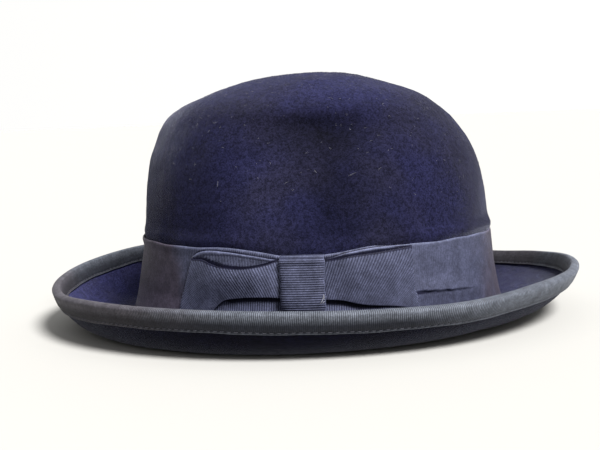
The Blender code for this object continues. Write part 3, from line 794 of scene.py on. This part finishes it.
# The two loops, as (x, height) points from the knot outwards or along the fold: the upper edge
# of the layer against the band, the upper and lower edge of the layer in front.
LEFT_LOOP = {
    "knot": -15.5, "fold": [(10.0, -72.0), (20.0, -69.8), (27.0, -67.4), (43.0, -62.4),
                            (49.0, -61.0)],
    "back_top": [(-62.9, 43.1), (-62.0, 44.8), (-60.2, 46.2), (-56.2, 47.4), (-46.2, 47.1),
                 (-33.2, 45.4), (-20.2, 43.5), (-10.0, 43.1)],
    "front_top": [(-63.0, 42.8), (-56.4, 42.8), (-51.5, 41.2), (-46.2, 39.7), (-35.6, 38.8),
                  (-25.2, 40.5), (-17.3, 43.1), (-10.0, 43.8)],
    "front_low": [(-73.0, 9.0), (-62.0, 10.5), (-55.0, 13.5), (-50.5, 19.0), (-47.5, 21.6),
                  (-42.0, 23.0), (-23.2, 23.9), (-10.0, 22.8)],
    "wedge": (2.3, 0.71, 0.12), "side": -1.0, "stand": 5.0, "inside": 1.25, "pale": 1.36,
}
RIGHT_LOOP = {
    "knot": 3.5, "fold": [(10.0, 53.0), (19.0, 52.0), (24.4, 50.4), (37.3, 49.8), (49.0, 48.8)],
    "back_top": [(-2.0, 43.0), (6.5, 43.3), (18.5, 46.0), (29.0, 47.5), (39.5, 47.9),
                 (49.0, 47.9)],
    "front_top": [(-2.0, 42.4), (6.0, 42.4), (18.2, 44.2), (28.5, 45.1), (39.0, 46.0),
                  (49.0, 46.7)],
    "front_low": [(-2.0, 22.4), (5.7, 22.2), (14.0, 21.4), (22.5, 19.0), (43.2, 15.9),
                  (53.5, 13.0)],
    "wedge": (2.9, 0.97, 0.6), "side": 1.0, "stand": 4.2, "inside": 1.6, "pale": 1.04,
}


def make_loop(loop):
    """One loop: back layer from the knot to the fold, round the fold, front layer back."""
    side = loop["side"]
    reach = abs(np.interp(30.0, *np.array(loop["fold"]).T) - loop["knot"])
    rows = 48
    across = np.linspace(0.0, 1.0, rows)[None, :]

    def x_at(part, height):
        """x at a share of the way from the knot to the slanting fold."""
        fold = np.array(loop["fold"])
        return loop["knot"] + (np.interp(height, fold[:, 0], fold[:, 1]) - loop["knot"]) * part

    def sheet(part, top):
        high = curve(loop[top], x_at(part, 44.0))
        low = curve(loop["front_low"], x_at(part, 16.0))
        height = low + (high - low) * across
        return x_at(part, height), height

    def front_offset(part, up):
        """Distance off the band: held at the knot, standing off half way, flat at the fold."""
        at_top = 1.5 + (loop["stand"] - 1.5) * smooth(part * 3.2) * smooth((1.04 - part) * 2.6)
        _, end, taper = loop["wedge"]
        at_foot = 0.6 + 1.2 * smooth(part * 7.0 + 0.45) * smooth((end - part) / (1.5 * taper))
        belly = 0.9 * np.sin(math.pi * up) * smooth(part * 3.0) * smooth((1.0 - part) * 3.0)
        return ON_BAND + at_foot + (at_top - at_foot) * smooth(up) + belly

    back_part = np.linspace(0.0, 1.0, 90)[:, None]
    front_part = np.linspace(1.0, 0.0, 170)[:, None]
    bx, bz = sheet(back_part, "back_top")
    fx, fz = sheet(front_part, "front_top")
    bo = ON_BAND + 0.3 + 0.5 * smooth((across - 0.8) / 0.2) + 0.0 * back_part
    fo = front_offset(front_part, across)
    turns = np.linspace(0.0, 1.0, 9)[1:-1, None]
    ease = (1 - np.cos(math.pi * turns)) / 2
    mx = bx[-1:] + (fx[:1] - bx[-1:]) * ease + 0.7 * side * np.sin(math.pi * turns)
    mz = bz[-1:] + (fz[:1] - bz[-1:]) * ease
    mo = bo[-1:] + (fo[:1] - bo[-1:]) * ease
    x, z, offset = (np.concatenate(three) for three in ((bx, mx, fx), (bz, mz, fz), (bo, mo, fo)))
    kind = np.concatenate([np.full(len(bx), -1.0), np.linspace(-1.0, 1.0, len(mx)),
                           np.ones(len(fx))])[:, None]
    away = np.clip(np.abs(x - loop["knot"]) / reach, 0.0, 1.1)
    drop = 28.0
    down = np.clip((44.0 - z) / drop, -0.1, 1.4)
    lean_top = 0.30 + 0.10 * away
    lean_foot = 0.38 + 0.50 * away
    lean = drop * (lean_top * down + (lean_foot - lean_top) * down**2 / 2)
    lean = lean * np.where(kind > 0, 1.0, 0.15)
    spread = x - 0.12 * side * reach * away**2
    rib = rib_profile((spread + side * lean) / LOOP_RIB)
    centre = on_wall(x, z, offset)
    normal = sheet_normals(centre)
    # The loop's outer side faces the band in the back layer, and away from it in front.
    outwards = np.sign(np.sum(normal[len(bx) // 2, rows // 2]
                              * felt_normal(angle_at_x(-6.0, 30.0), station_at(30.0))))
    normal *= -outwards
    selvedge = smooth(np.minimum(across, 1.0 - across) / 0.035)
    half = 0.3
    rise = RIB_DEPTH * (rib - 0.5) * selvedge
    outer = centre + normal * (half + rise)[..., None]
    inner = centre - normal * (half - rise)[..., None]
    points, quads = strap(outer, inner)

    front_top = curve(loop["front_top"], x)
    # Painted shade in the loop's pocket, below the front layer's top edge.
    painted_pocket_shade = smooth((front_top + 1.4 - z) / 0.5)
    # A painted shadow line just below the back layer's top selvedge.
    painted_slot_shade = bell(across - 0.945, 0.018)
    inner_face = loop["inside"] * (0.1 + 0.9 * rib) * (1.0 - 0.9 * painted_slot_shade)
    # The back layer's top selvedge is pale, with a painted highlight on it.
    inner_face = np.where(across > 0.972, 1.45, inner_face) * (1.0 - 0.97 * painted_pocket_shade)
    # The front face is darker towards its lower edge and has a painted shadow line along its top
    # edge.
    front_face = loop["pale"] * rib * (1.0 - 0.25 * smooth((0.2 - across) / 0.2))
    front_face = front_face * (1.0 - 0.93 * smooth((across - 0.965) / 0.015))
    # Painted shade on the loop's inside faces, against the band and in the pocket.
    painted_inside_shade = 0.08
    face = np.where(kind > 0, front_face, inner_face)
    weave_and_painted_light = np.concatenate([np.where(kind > 0, face, painted_inside_shade),
                             np.where(kind > 0, painted_inside_shade, face)[:, ::-1]], axis=1)
    return points, quads, weave_and_painted_light.ravel()


def make_bow_loops():
    parts = [make_loop(LEFT_LOOP), make_loop(RIGHT_LOOP)]
    points, quads = join([part[:2] for part in parts])
    weave_and_painted_light = np.concatenate([part[2] for part in parts])
    brown_tint = 0.12 * band_brown_tint(points)
    return mesh_piece("bow_ribbon_loops", points, quads, RIBBON_LOOK, "bow_loops",
                      attributes={"weave_and_painted_light": weave_and_painted_light, "brown_tint": brown_tint})


def make_bow_knot():
    """The strap round the middle of the bow, its ribs level."""
    low, high = KNOT_Z
    heights = np.linspace(low, high - 1.0, 144)
    face = curve([(low, 3.4), (14.0, 4.2), (21.0, 6.3), (30.0, 6.7), (40.0, 6.6), (44.0, 6.2),
                  (high - 1.0, 5.4)], heights)
    turn = np.linspace(0.0, math.pi * 0.75, 8)[1:]
    top_z = high - 1.0 + 1.15 * np.sin(turn)
    top_o = 5.4 - 1.9 + 1.9 * np.cos(turn)
    z = np.concatenate([heights, top_z])[:, None]
    offset = np.concatenate([face, top_o])[:, None]
    across = np.linspace(-1.0, 1.0, 44)[None, :]
    half = KNOT_HALF + 0.25 * np.sin(z * 0.35) + 0.15 * np.sin(z * 1.1)
    x = BOW_CENTRE + half * across
    crown = -1.5 * np.abs(across) ** 7 + 0.25 * np.sin(across * 2.4 + z * 0.12)
    rib = rib_profile(z / RIB + 0.05 * across) + 0 * across
    selvedge = smooth((1.0 - np.abs(across)) / 0.07)
    rise = RIB_DEPTH * 1.15 * (rib - 0.5) * selvedge
    outer = on_wall(x + 0 * z, z + 0 * x, offset + crown + rise)
    inner = on_wall(x + 0 * z, z + 0 * x, offset + crown - RIBBON)
    points, quads = strap(outer, inner)
    # The strap's edges are lighter: its selvedges, with a painted highlight on them.
    weave_and_painted_light = np.concatenate([np.where(selvedge > 0.6, rib, 1.2), np.ones_like(rib)], axis=1)
    return mesh_piece("bow_strap", points, quads, RIBBON_LOOK, "bow_knot",
                      attributes={"weave_and_painted_light": weave_and_painted_light.ravel()})


def make_loose_thread():
    """The end of the bow's sewing thread, standing out at the strap's edge."""
    def path(points):
        return np.array([on_wall(np.float64(x), np.float64(z), np.float64(o))
                         for x, z, o in points])
    strands = [path([(4.2, 25.0, 6.8), (3.9, 23.6, 7.5), (3.3, 22.2, 7.9), (2.6, 20.9, 7.6),
                     (1.8, 19.9, 7.2)]),
               path([(4.9, 22.0, 6.6), (4.4, 22.9, 7.3), (4.2, 24.2, 7.9), (3.9, 25.4, 8.1)]),
               path([(3.2, 20.1, 7.0), (3.6, 21.0, 7.5), (4.4, 21.7, 7.4)])]
    points, quads = join([tube(strand, [0.05, 0.10, 0.12, 0.10, 0.05][:len(strand)], 6)
                          for strand in strands])
    return mesh_piece("bow_thread_end", points, quads, PALE_THREAD_LOOK, None)


# ---- binding ------------------------------------------------------------------------------
def binding_edge(angles):
    """Width of the binding on a face, with the small unevenness of hand guiding."""
    return BINDING_WIDTH - 0.2 + 0.22 * np.sin(angles * 7 + 0.5) + 0.16 * np.sin(angles * 17) \
        + 0.08 * np.sin(angles * 41 + 2.0)


def binding_brown_tint(angles):
    """Browner stretches of the binding: near the front, and inside the far back."""
    degrees = np.degrees(angles) % 360.0
    near_front = smooth((degrees - 150.0) / 40.0) * smooth((268.0 - degrees) / 45.0)
    far_back = smooth((degrees - 8.0) / 20.0) * smooth((88.0 - degrees) / 20.0)
    return np.maximum(0.7 * near_front, 0.9 * far_back)


def make_binding():
    """Ribbon folded over the brim's edge, a little puffed, with pressed edges."""
    length = even_angles(8, 3.0)[1]
    ribs = int(round(length / BINDING_RIB))
    columns = ribs * RIB_STEPS
    angles, _ = even_angles(columns, 3.0)
    rib = rib_profile(np.arange(columns) / RIB_STEPS)
    stitch = np.sin(np.arange(columns) / columns * round(length / STITCH) * math.pi) ** 8
    share = np.array([0.0, 0.03, 0.07, 0.12, 0.2, 0.34, 0.5, 0.68, 0.85, 1.0])
    width = binding_edge(angles)
    distances = width[:, None] * (1.0 - share[None, :])
    stations = stations_from_rim(angles, distances).T
    pinch = bell(share - 0.12, 0.05)[:, None]
    lip = bell(share - 0.03, 0.035)[:, None]
    puff = smooth(share / 0.35)[:, None] * (1.0 - 0.4 * share[:, None])
    base_waves = waves(felt_face(angles, np.full(angles.shape, 3.0)), 22.0, 21)
    cover = smooth(share / 0.02)[:, None]
    offset = 0.42 + BINDING_THICK * 0.75 + 0.38 * puff + 0.16 * lip - 0.2 * pinch \
        - 0.22 * pinch * stitch[None, :] + 0.1 * base_waves[None, :] * puff
    offset = offset + 0.16 * (rib[None, :] - 0.5) * cover * (1.0 - 0.5 * lip)
    angle = np.broadcast_to(angles[None, :], stations.shape)
    upper = layer(angle, stations, offset)
    lower = layer(angle, stations, -FELT - offset)

    edge = felt_face(angles, np.full(angles.shape, 3.0))
    normal = felt_normal(angles, np.full(angles.shape, 2.999))
    outward = edge - felt_face(angles, np.full(angles.shape, 2.985))
    outward /= np.linalg.norm(outward, axis=1, keepdims=True)
    middle = edge - normal * FELT / 2
    radius = FELT / 2 + offset[-1]
    reach = 1.35 + 0.16 * (rib - 0.5)
    turns = np.linspace(0.0, math.pi, 9)[1:-1]
    tip = [middle + normal * (radius * math.cos(turn))[:, None]
           + outward * (reach * math.sin(turn))[:, None] for turn in turns]
    inside = [layer(angle[:1], stations[:1], offset[:1] * 0 + 0.1)[0],
              layer(angle[-1:], stations[-1:], offset[:1] * 0 + 0.25)[0],
              layer(angle[-1:], stations[-1:], offset[:1] * 0 - FELT - 0.25)[0],
              layer(angle[:1], stations[:1], offset[:1] * 0 - FELT - 0.1)[0]]
    rings = np.concatenate([upper, np.array(tip), lower[::-1], np.array(inside[::-1])])
    flat = 1.2 * rib[None, :] * cover + (1.0 - cover) * 1.2
    # Painted shade in the pressed line and its stitch dimples.
    flat = flat * (1.0 - 0.5 * pinch * (0.35 + 0.65 * stitch[None, :]))
    # Painted shade over the part of each face away from the lit crest, weaker towards the back on
    # the lower face; the binding is also lighter towards the back and darker towards the front.
    towards_back = smooth((np.degrees(angles) % 360.0 - 285.0) / 25.0)[None, :]
    painted_shade_low = smooth((0.90 - share) / 0.38)[:, None]
    towards_front = smooth((262.0 - np.degrees(angles) % 360.0) / 40.0)[None, :]
    flat = flat * (1.0 + 0.2 * towards_back) * (1.0 - 0.16 * towards_front)
    # The selvedge's lip is lighter: its pale edge with a painted highlight, on the lower face less
    # at the stitches.
    above = flat * (1.0 - 0.74 * painted_shade_low) + 0.4 * lip
    below = flat * (1.0 - 0.92 * painted_shade_low * (1.0 - 0.76 * towards_back)) \
        + 0.55 * lip * (0.5 + 0.5 * (1.0 - stitch[None, :]))
    weave_and_painted_light = np.concatenate([above, np.repeat(1.2 * rib[None, :], len(tip), axis=0),
                             below[::-1], np.ones((4, len(angles)))])
    brown_tint = np.broadcast_to(binding_brown_tint(angles), weave_and_painted_light.shape)
    return hoop("brim_ribbon_binding", rings, BINDING_LOOK, "brim_binding",
                attributes={"weave_and_painted_light": weave_and_painted_light, "brown_tint": brown_tint})


def stitch_row(angles, stations, offset, length, radius):
    """Small separate stitches along a line on the brim."""
    parts = []
    centre = layer(angles, stations, np.full(angles.shape, offset))
    run = np.concatenate([[0.0], np.cumsum(np.linalg.norm(np.diff(centre, axis=0), axis=1))])
    count = int(round(run[-1] / STITCH))
    normal = felt_normal(angles, stations) * np.sign(offset)
    for index in range(count):
        start = (index + 0.18) / count * run[-1]
        at = start + np.linspace(0.0, length, 5)
        sink = np.array([-0.32, -0.04, 0.05, -0.04, -0.32])
        path = np.stack([np.interp(at, run, centre[:, k]) for k in range(3)], axis=-1)
        lift = np.stack([np.interp(at, run, normal[:, k]) for k in range(3)], axis=-1)
        parts.append(tube(path + lift * sink[:, None], [radius * 0.6, radius, radius, radius,
                                                        radius * 0.6], 6))
    return join(parts)


def make_binding_stitches():
    angles = np.linspace(0.0, 2 * math.pi, 1400)
    stations = stations_from_rim(angles, (binding_edge(angles) * 0.88)[:, None])[:, 0]
    upper = stitch_row(angles, stations, 1.05, 2.1, 0.17)
    lower = stitch_row(angles, stations, -FELT - 1.05, 2.1, 0.17)
    points, quads = join([upper, lower])
    return mesh_piece("binding_stitch_rows", points, quads, THREAD_LOOK,
                      "brim_binding_stitches")


# ---- inside -------------------------------------------------------------------------------
LEATHER_OUT = -(FELT + 2 * GAP + SATIN)
LEATHER_IN = LEATHER_OUT - LEATHER
REED_OFFSET = (LEATHER_OUT + LEATHER_IN) / 2


def foot_ring(angles, offset, height):
    """A ring near the foot of the wall, set in from the wall's foot in plan."""
    foot = felt_face(angles, np.ones(angles.shape))
    normal = felt_normal(angles, np.full(angles.shape, 0.999))
    normal[:, 2] = 0.0
    normal /= np.linalg.norm(normal, axis=1, keepdims=True)
    ring = foot + normal * offset
    ring[:, 2] = height
    return ring


def wall_rings(angles, heights, offsets):
    angle = np.broadcast_to(angles[None, :], (len(heights), len(angles)))
    station = station_at(np.asarray(heights, float))[:, None] + 0 * angle
    return layer(angle, station, np.asarray(offsets, float).reshape(len(heights), -1) + 0 * angle)


def make_sweatband():
    """Leather band with slight wear waves and a turned upper edge."""
    angles = np.arange(400) * 2 * math.pi / 400
    heights = np.concatenate([np.linspace(7.0, SWEATBAND_TOP - 1.0, 20),
                              [SWEATBAND_TOP - 0.4, SWEATBAND_TOP]])
    base = wall_rings(angles, heights, np.zeros(len(heights)))
    free = smooth((heights - 16.0) / 20.0)[:, None]
    wave = free * (0.5 * waves(base, 48.0, 31) + 0.18 * waves(base * [1, 1, 0.5], 17.0, 32) - 0.5)
    round_in = 0.35 * smooth((heights - (SWEATBAND_TOP - 0.9)) / 0.9)[:, None]
    inner = wall_rings(angles, heights, LEATHER_IN + np.minimum(wave, 0.15) + round_in)
    outer = wall_rings(angles, heights, LEATHER_OUT + np.minimum(wave, 0.0) - round_in)
    return hoop("leather_sweatband", np.concatenate([outer, inner[::-1]]), LEATHER_LOOK,
                "sweatband")


def make_reed():
    angles = np.arange(360) * 2 * math.pi / 360
    radius = 0.8
    turns = np.arange(12) * 2 * math.pi / 12
    rings = [foot_ring(angles, REED_OFFSET + radius * math.cos(turn),
                       REED_Z + radius * math.sin(turn)) for turn in turns]
    return hoop("reed_cord", rings, REED_LOOK, "sweatband_reed")


def make_reed_tape():
    """Tape folded under the reed, with a leg on each face of the sweatband's edge."""
    angles = np.arange(480) * 2 * math.pi / 480
    clear, tape, leg_top = 1.2, 0.35, 11.0
    turns = np.radians(np.linspace(25, -205, 16))
    pucker = 0.12 * np.sin(angles * 95)
    outer_leg, inner_leg = LEATHER_OUT + GAP, LEATHER_IN - GAP
    rings = [wall_rings(angles, [leg_top], [outer_leg + tape])[0]]
    rings += [foot_ring(angles, REED_OFFSET + (clear + tape) * math.cos(turn),
                        REED_Z + (clear + tape) * math.sin(turn)) for turn in turns]
    rings += [wall_rings(angles, [height], [inner_leg - tape])[0]
              for height in (7.4, 9.2, leg_top - 0.3)]
    rings += [wall_rings(angles, [leg_top], [inner_leg])[0] + pucker[:, None] * [0, 0, 1]]
    rings += [foot_ring(angles, REED_OFFSET + clear * math.cos(turn),
                        REED_Z + clear * math.sin(turn)) for turn in turns[::-1]]
    rings += [wall_rings(angles, [leg_top], [outer_leg])[0]]
    return hoop("reed_fold_tape", rings, TAPE_LOOK, "sweatband_reed_tape")


def make_sweatband_stitches():
    angles = np.linspace(0.0, 2 * math.pi, 1200)
    stations = station_at(np.full(angles.shape, 9.6))
    offset = LEATHER_IN - GAP - 0.45
    points, quads = stitch_row(angles, stations, offset, 2.3, 0.2)
    return mesh_piece("sweatband_stitch_row", points, quads, PALE_THREAD_LOOK,
                      "sweatband_stitches")


LINING_SEAM = 107.0         # height where the lining's side wall and its tip are sewn together


def make_lining_side():
    """Satin side wall with soft gathers."""
    angles = np.arange(600) * 2 * math.pi / 600
    heights = np.concatenate([np.linspace(34.0, 100.0, 18), [103.0, 105.5, LINING_SEAM]])
    gather = 0.35 * np.sin(angles * 60 + 1.5 * np.sin(angles * 7))[None, :]
    near_seam = smooth((heights - 70.0) / 36.0)[:, None]
    loose = smooth((heights - 46.0) / 12.0)[:, None]
    face = -FELT - GAP - 1.1 * loose + gather * near_seam * loose
    outer = wall_rings(angles, heights, face)
    inner = wall_rings(angles, heights, face - SATIN)
    return hoop("satin_side_wall", np.concatenate([outer, inner[::-1]]), SATIN_LOOK,
                "lining_side_wall")


def make_lining_tip():
    """Satin disc that closes the lining at the top of the crown."""
    around = 240
    angles = np.arange(around) * 2 * math.pi / around
    stations = np.linspace(0.0, float(station_at(LINING_SEAM + 0.6)), 40)[1:]
    grid_angle = np.broadcast_to(angles[None, :], (len(stations), around))
    base = felt_face(grid_angle, stations[:, None])
    sag = 1.4 + 0.4 * waves(base, 45.0, 41) * smooth(1.0 - stations[:, None] / stations[-1])
    outer = layer(grid_angle, stations[:, None] + 0 * grid_angle, -FELT - GAP - sag + 0.5)
    inner = layer(grid_angle, stations[:, None] + 0 * grid_angle, -FELT - GAP - sag + 0.5 - SATIN)
    rings = np.concatenate([outer, inner[::-1]])
    rows = len(rings)
    apex = felt_face(0.0, 0.0)
    points = np.concatenate([rings.reshape(-1, 3), [apex - [0, 0, FELT + GAP + 0.9]],
                             [apex - [0, 0, FELT + GAP + 0.9 + SATIN]]])
    return mesh_piece("satin_tip", points, grid_quads(rows, around, False, True), SATIN_LOOK,
                      "lining_tip", tris=pole_fans(rows, around))


SMALL_BOW_OFFSET = LEATHER_IN - GAP
SMALL_RIB = 1.1             # pitch of the small bow's ribs


def make_small_bow_loops():
    """The loops of the small ribbon bow at the back of the sweatband."""
    base = SMALL_BOW_OFFSET
    parts, grooves = [], []
    for side in (-1.0, 1.0):
        part = np.linspace(0.0, 1.0, 60)[:, None]
        turn = np.linspace(0.0, 1.0, 8)[1:-1, None]
        reach = 13.0
        up = np.linspace(-1.0, 1.0, 20)[None, :]
        back_y, front_y = side * reach * part, side * reach * part[::-1]
        lift = 2.0 * np.sin(math.pi * part[::-1]) ** 0.8
        y = np.concatenate([back_y, side * (reach + 0.4 * np.sin(math.pi * turn)), front_y])
        offset = np.concatenate([base - 0.3 + 0 * part,
                                 base - 0.3 - 0.8 * turn,
                                 base - 1.1 - lift * smooth(part * 8.0)])
        spread = smooth((np.abs(y) - 1.5) / 9.0)
        z = 19.5 + up * (2.6 + 2.0 * spread) - 0.6 * spread
        ys = y + 0 * z
        rib = rib_profile(ys / SMALL_RIB)
        centre = on_back_wall(ys, z, offset + 0 * z)
        normal = sheet_normals(centre)
        rise = 0.06 * (rib - 0.5)[..., None]
        points, quads = strap(centre + normal * (0.2 + rise), centre - normal * (0.2 - rise))
        parts.append((points, quads))
        grooves.append(np.concatenate([rib, rib[:, ::-1]], axis=1).ravel())
    points, quads = join(parts)
    return mesh_piece("small_bow_loops", points, quads, RIBBON_LOOK,
                      "sweatband_bow_loops", attributes={"weave_and_painted_light": np.concatenate(grooves)})


def make_small_bow_strap():
    """The strap round the middle of the small bow."""
    z = np.linspace(15.2, 24.0, 40)[:, None]
    y = np.linspace(-2.3, 2.3, 14)[None, :]
    hump = 2.4 * np.sqrt(np.clip(1.0 - ((z - 19.6) / 4.6) ** 2, 0.02, 1.0))
    face = SMALL_BOW_OFFSET - 0.2 - hump + 0.5 * np.abs(y / 2.3) ** 4
    rib = rib_profile(z / SMALL_RIB) + 0 * y
    outer = on_back_wall(y + 0 * z, z + 0 * y, face - 0.08 * rib)
    inner = on_back_wall(y + 0 * z, z + 0 * y, face + 0.4)
    points, quads = strap(outer, inner)
    weave_and_painted_light = np.concatenate([rib, np.ones_like(rib)], axis=1).ravel()
    return mesh_piece("small_bow_strap", points, quads, RIBBON_LOOK,
                      "sweatband_bow_knot", attributes={"weave_and_painted_light": weave_and_painted_light})


def make_size_tab():
    """A blank cloth tab sewn to the sweatband."""
    y = np.linspace(20.0, 34.0, 40)[:, None]
    z = np.linspace(27.0, 38.0, 30)[None, :]
    curl = 0.5 * smooth((z - 34.0) / 4.0) + 0.0 * y
    face = LEATHER_IN - GAP - 0.6 - curl
    outer = on_back_wall(y + 0 * z, z + 0 * y, face)
    inner = on_back_wall(y + 0 * z, z + 0 * y, face + 0.35)
    points, quads = strap(outer, inner)
    return mesh_piece("blank_size_tab", points, quads, TAB_LOOK, "size_tab")


# ---- lint ---------------------------------------------------------------------------------
LINT_HAIRS = 900


def hair_path(base, normal, rise, heading, bend, length, steps):
    """A short bent hair lying on the felt."""
    reference = [0.0, 0.0, 1.0] if abs(normal[2]) < 0.8 else [1.0, 0.0, 0.0]
    first = np.cross(normal, reference)
    first /= np.linalg.norm(first)
    second = np.cross(normal, first)
    turn = heading + bend * steps
    flat = np.cos(turn)[:, None] * first + np.sin(turn)[:, None] * second
    arch = rise + 0.25 * (0.25 - steps**2)
    return base + flat * (steps * length)[:, None] + normal * arch[:, None]


def make_lint():
    """Pale loose hairs caught in the nap of the crown and brim."""
    rng = np.random.default_rng(77)
    parts = []
    for _ in range(LINT_HAIRS):
        on_brim = rng.random() < 0.10
        angle = np.array([rng.uniform(0, 2 * math.pi)])
        station = np.array([rng.uniform(2.1, 2.7) if on_brim else rng.uniform(0.03, 0.76) ** 1.3])
        length = rng.uniform(0.4, 2.4) * (2.0 if rng.random() < 0.09 else 1.0)
        base, normal = felt_face(angle, station), felt_normal(angle, station)
        relief = felt_relief(base, angle, station)[0]
        path = hair_path(base[0], normal[0], relief + 0.1, rng.uniform(0, 2 * math.pi),
                         rng.uniform(-2.8, 2.8), length, np.linspace(-0.5, 0.5, 5))
        thick = rng.uniform(0.03, 0.07)
        parts.append(tube(path, [thick * 0.4, thick, thick, thick, thick * 0.4], 4))
    points, quads = join(parts)
    return mesh_piece("felt_lint", points, quads, LINT_LOOK, None)


# ---- studio -------------------------------------------------------------------------------
FLOOR_Z = -0.0003


def make_floor():
    """A plain pale floor, a hair below the brim's rest plane."""
    mesh = bpy.data.meshes.new("floor")
    half = 6.0
    mesh.from_pydata([(-half, -half, FLOOR_Z), (half, -half, FLOOR_Z), (half, half, FLOOR_Z),
                      (-half, half, FLOOR_Z)], [], [(0, 1, 2, 3)])
    s = Shader("floor_look")
    s.set(Base_Color=(0.48, 0.475, 0.46, 1.0), Roughness=0.9, Specular_IOR_Level=0.1)
    mesh.materials.append(s.material)
    made = bpy.data.objects.new("floor", mesh)
    bpy.context.scene.collection.objects.link(made)


def sun_light(name, towards, strength, softness, colour):
    """Soft light from far away; towards points from the hat to the light."""
    data = bpy.data.lights.new(name, "SUN")
    data.energy = strength
    data.angle = softness
    data.color = colour
    made = bpy.data.objects.new(name, data)
    back = np.array(towards, float) / np.linalg.norm(towards)
    right = np.cross([0.0, 0.0, 1.0], back)
    right /= np.linalg.norm(right)
    up = np.cross(back, right)
    made.rotation_euler = Matrix([right, up, back]).transposed().to_euler()
    bpy.context.scene.collection.objects.link(made)


KEY_TOWARDS = (0.50, -0.54, 0.92)
KEY_STRENGTH = 6.6
KEY_SOFTNESS = 0.40         # width of the light in radians
KEY_COLOUR = (1.0, 0.99, 0.97)


def make_world():
    """A pale surround, white behind the hat and a little brighter to the right."""
    world = bpy.data.worlds.new("studio")
    bpy.context.scene.world = world
    world.use_nodes = True
    tree = world.node_tree
    place = tree.nodes.new("ShaderNodeTexCoord").outputs["Generated"]
    split = tree.nodes.new("ShaderNodeSeparateXYZ")
    tree.links.new(place, split.inputs[0])
    behind = tree.nodes.new("ShaderNodeMapRange")
    behind.interpolation_type = "SMOOTHSTEP"
    for key, value in (("From Min", 0.2), ("From Max", 0.9), ("To Min", 0.42), ("To Max", 1.03)):
        behind.inputs[key].default_value = value
    tree.links.new(split.outputs["Y"], behind.inputs["Value"])
    right = tree.nodes.new("ShaderNodeMath")
    right.operation = "MULTIPLY_ADD"
    tree.links.new(split.outputs["X"], right.inputs[0])
    right.inputs[1].default_value = 0.12
    tree.links.new(behind.outputs["Result"], right.inputs[2])
    tree.links.new(right.outputs[0], tree.nodes["Background"].inputs["Strength"])
    tree.nodes["Background"].inputs["Color"].default_value = (1.0, 0.997, 0.985, 1.0)


CAMERA_DISTANCE = 0.640
CAMERA_HEIGHT = 0.125
CAMERA_DOWN = math.radians(6.57)
CAMERA_LEFT = math.radians(0.75)
CAMERA_ROLL = math.radians(2.2)
SENSOR_WIDTH = 36.0
CAMERA_LENS = 65.6


def make_camera():
    data = bpy.data.cameras.new("camera")
    data.sensor_width = SENSOR_WIDTH
    data.lens = CAMERA_LENS
    data.clip_start = 0.05
    made = bpy.data.objects.new("camera", data)
    forward = np.array([-math.sin(CAMERA_LEFT) * math.cos(CAMERA_DOWN),
                        math.cos(CAMERA_LEFT) * math.cos(CAMERA_DOWN), -math.sin(CAMERA_DOWN)])
    level = np.cross(forward, [0.0, 0.0, 1.0])
    level /= np.linalg.norm(level)
    above = np.cross(level, forward)
    right = math.cos(CAMERA_ROLL) * level - math.sin(CAMERA_ROLL) * above
    up = math.sin(CAMERA_ROLL) * level + math.cos(CAMERA_ROLL) * above
    turn = Matrix([right, up, -forward]).transposed()
    made.matrix_world = Matrix.Translation((CROWN_SHIFT * METRES, -CAMERA_DISTANCE,
                                            CAMERA_HEIGHT)) @ turn.to_4x4()
    bpy.context.scene.collection.objects.link(made)
    bpy.context.scene.camera = made


def main():
    make_camera()
    make_world()
    make_floor()
    sun_light("key", KEY_TOWARDS, KEY_STRENGTH, KEY_SOFTNESS, KEY_COLOUR)
    make_felt()
    make_band()
    make_bow_loops()
    make_bow_knot()
    make_loose_thread()
    make_binding()
    make_binding_stitches()
    make_sweatband()
    make_reed()
    make_reed_tape()
    make_sweatband_stitches()
    make_lining_side()
    make_lining_tip()
    make_small_bow_loops()
    make_small_bow_strap()
    make_size_tab()
    make_lint()
    bpy.context.scene.view_settings.view_transform = "Standard"


main()
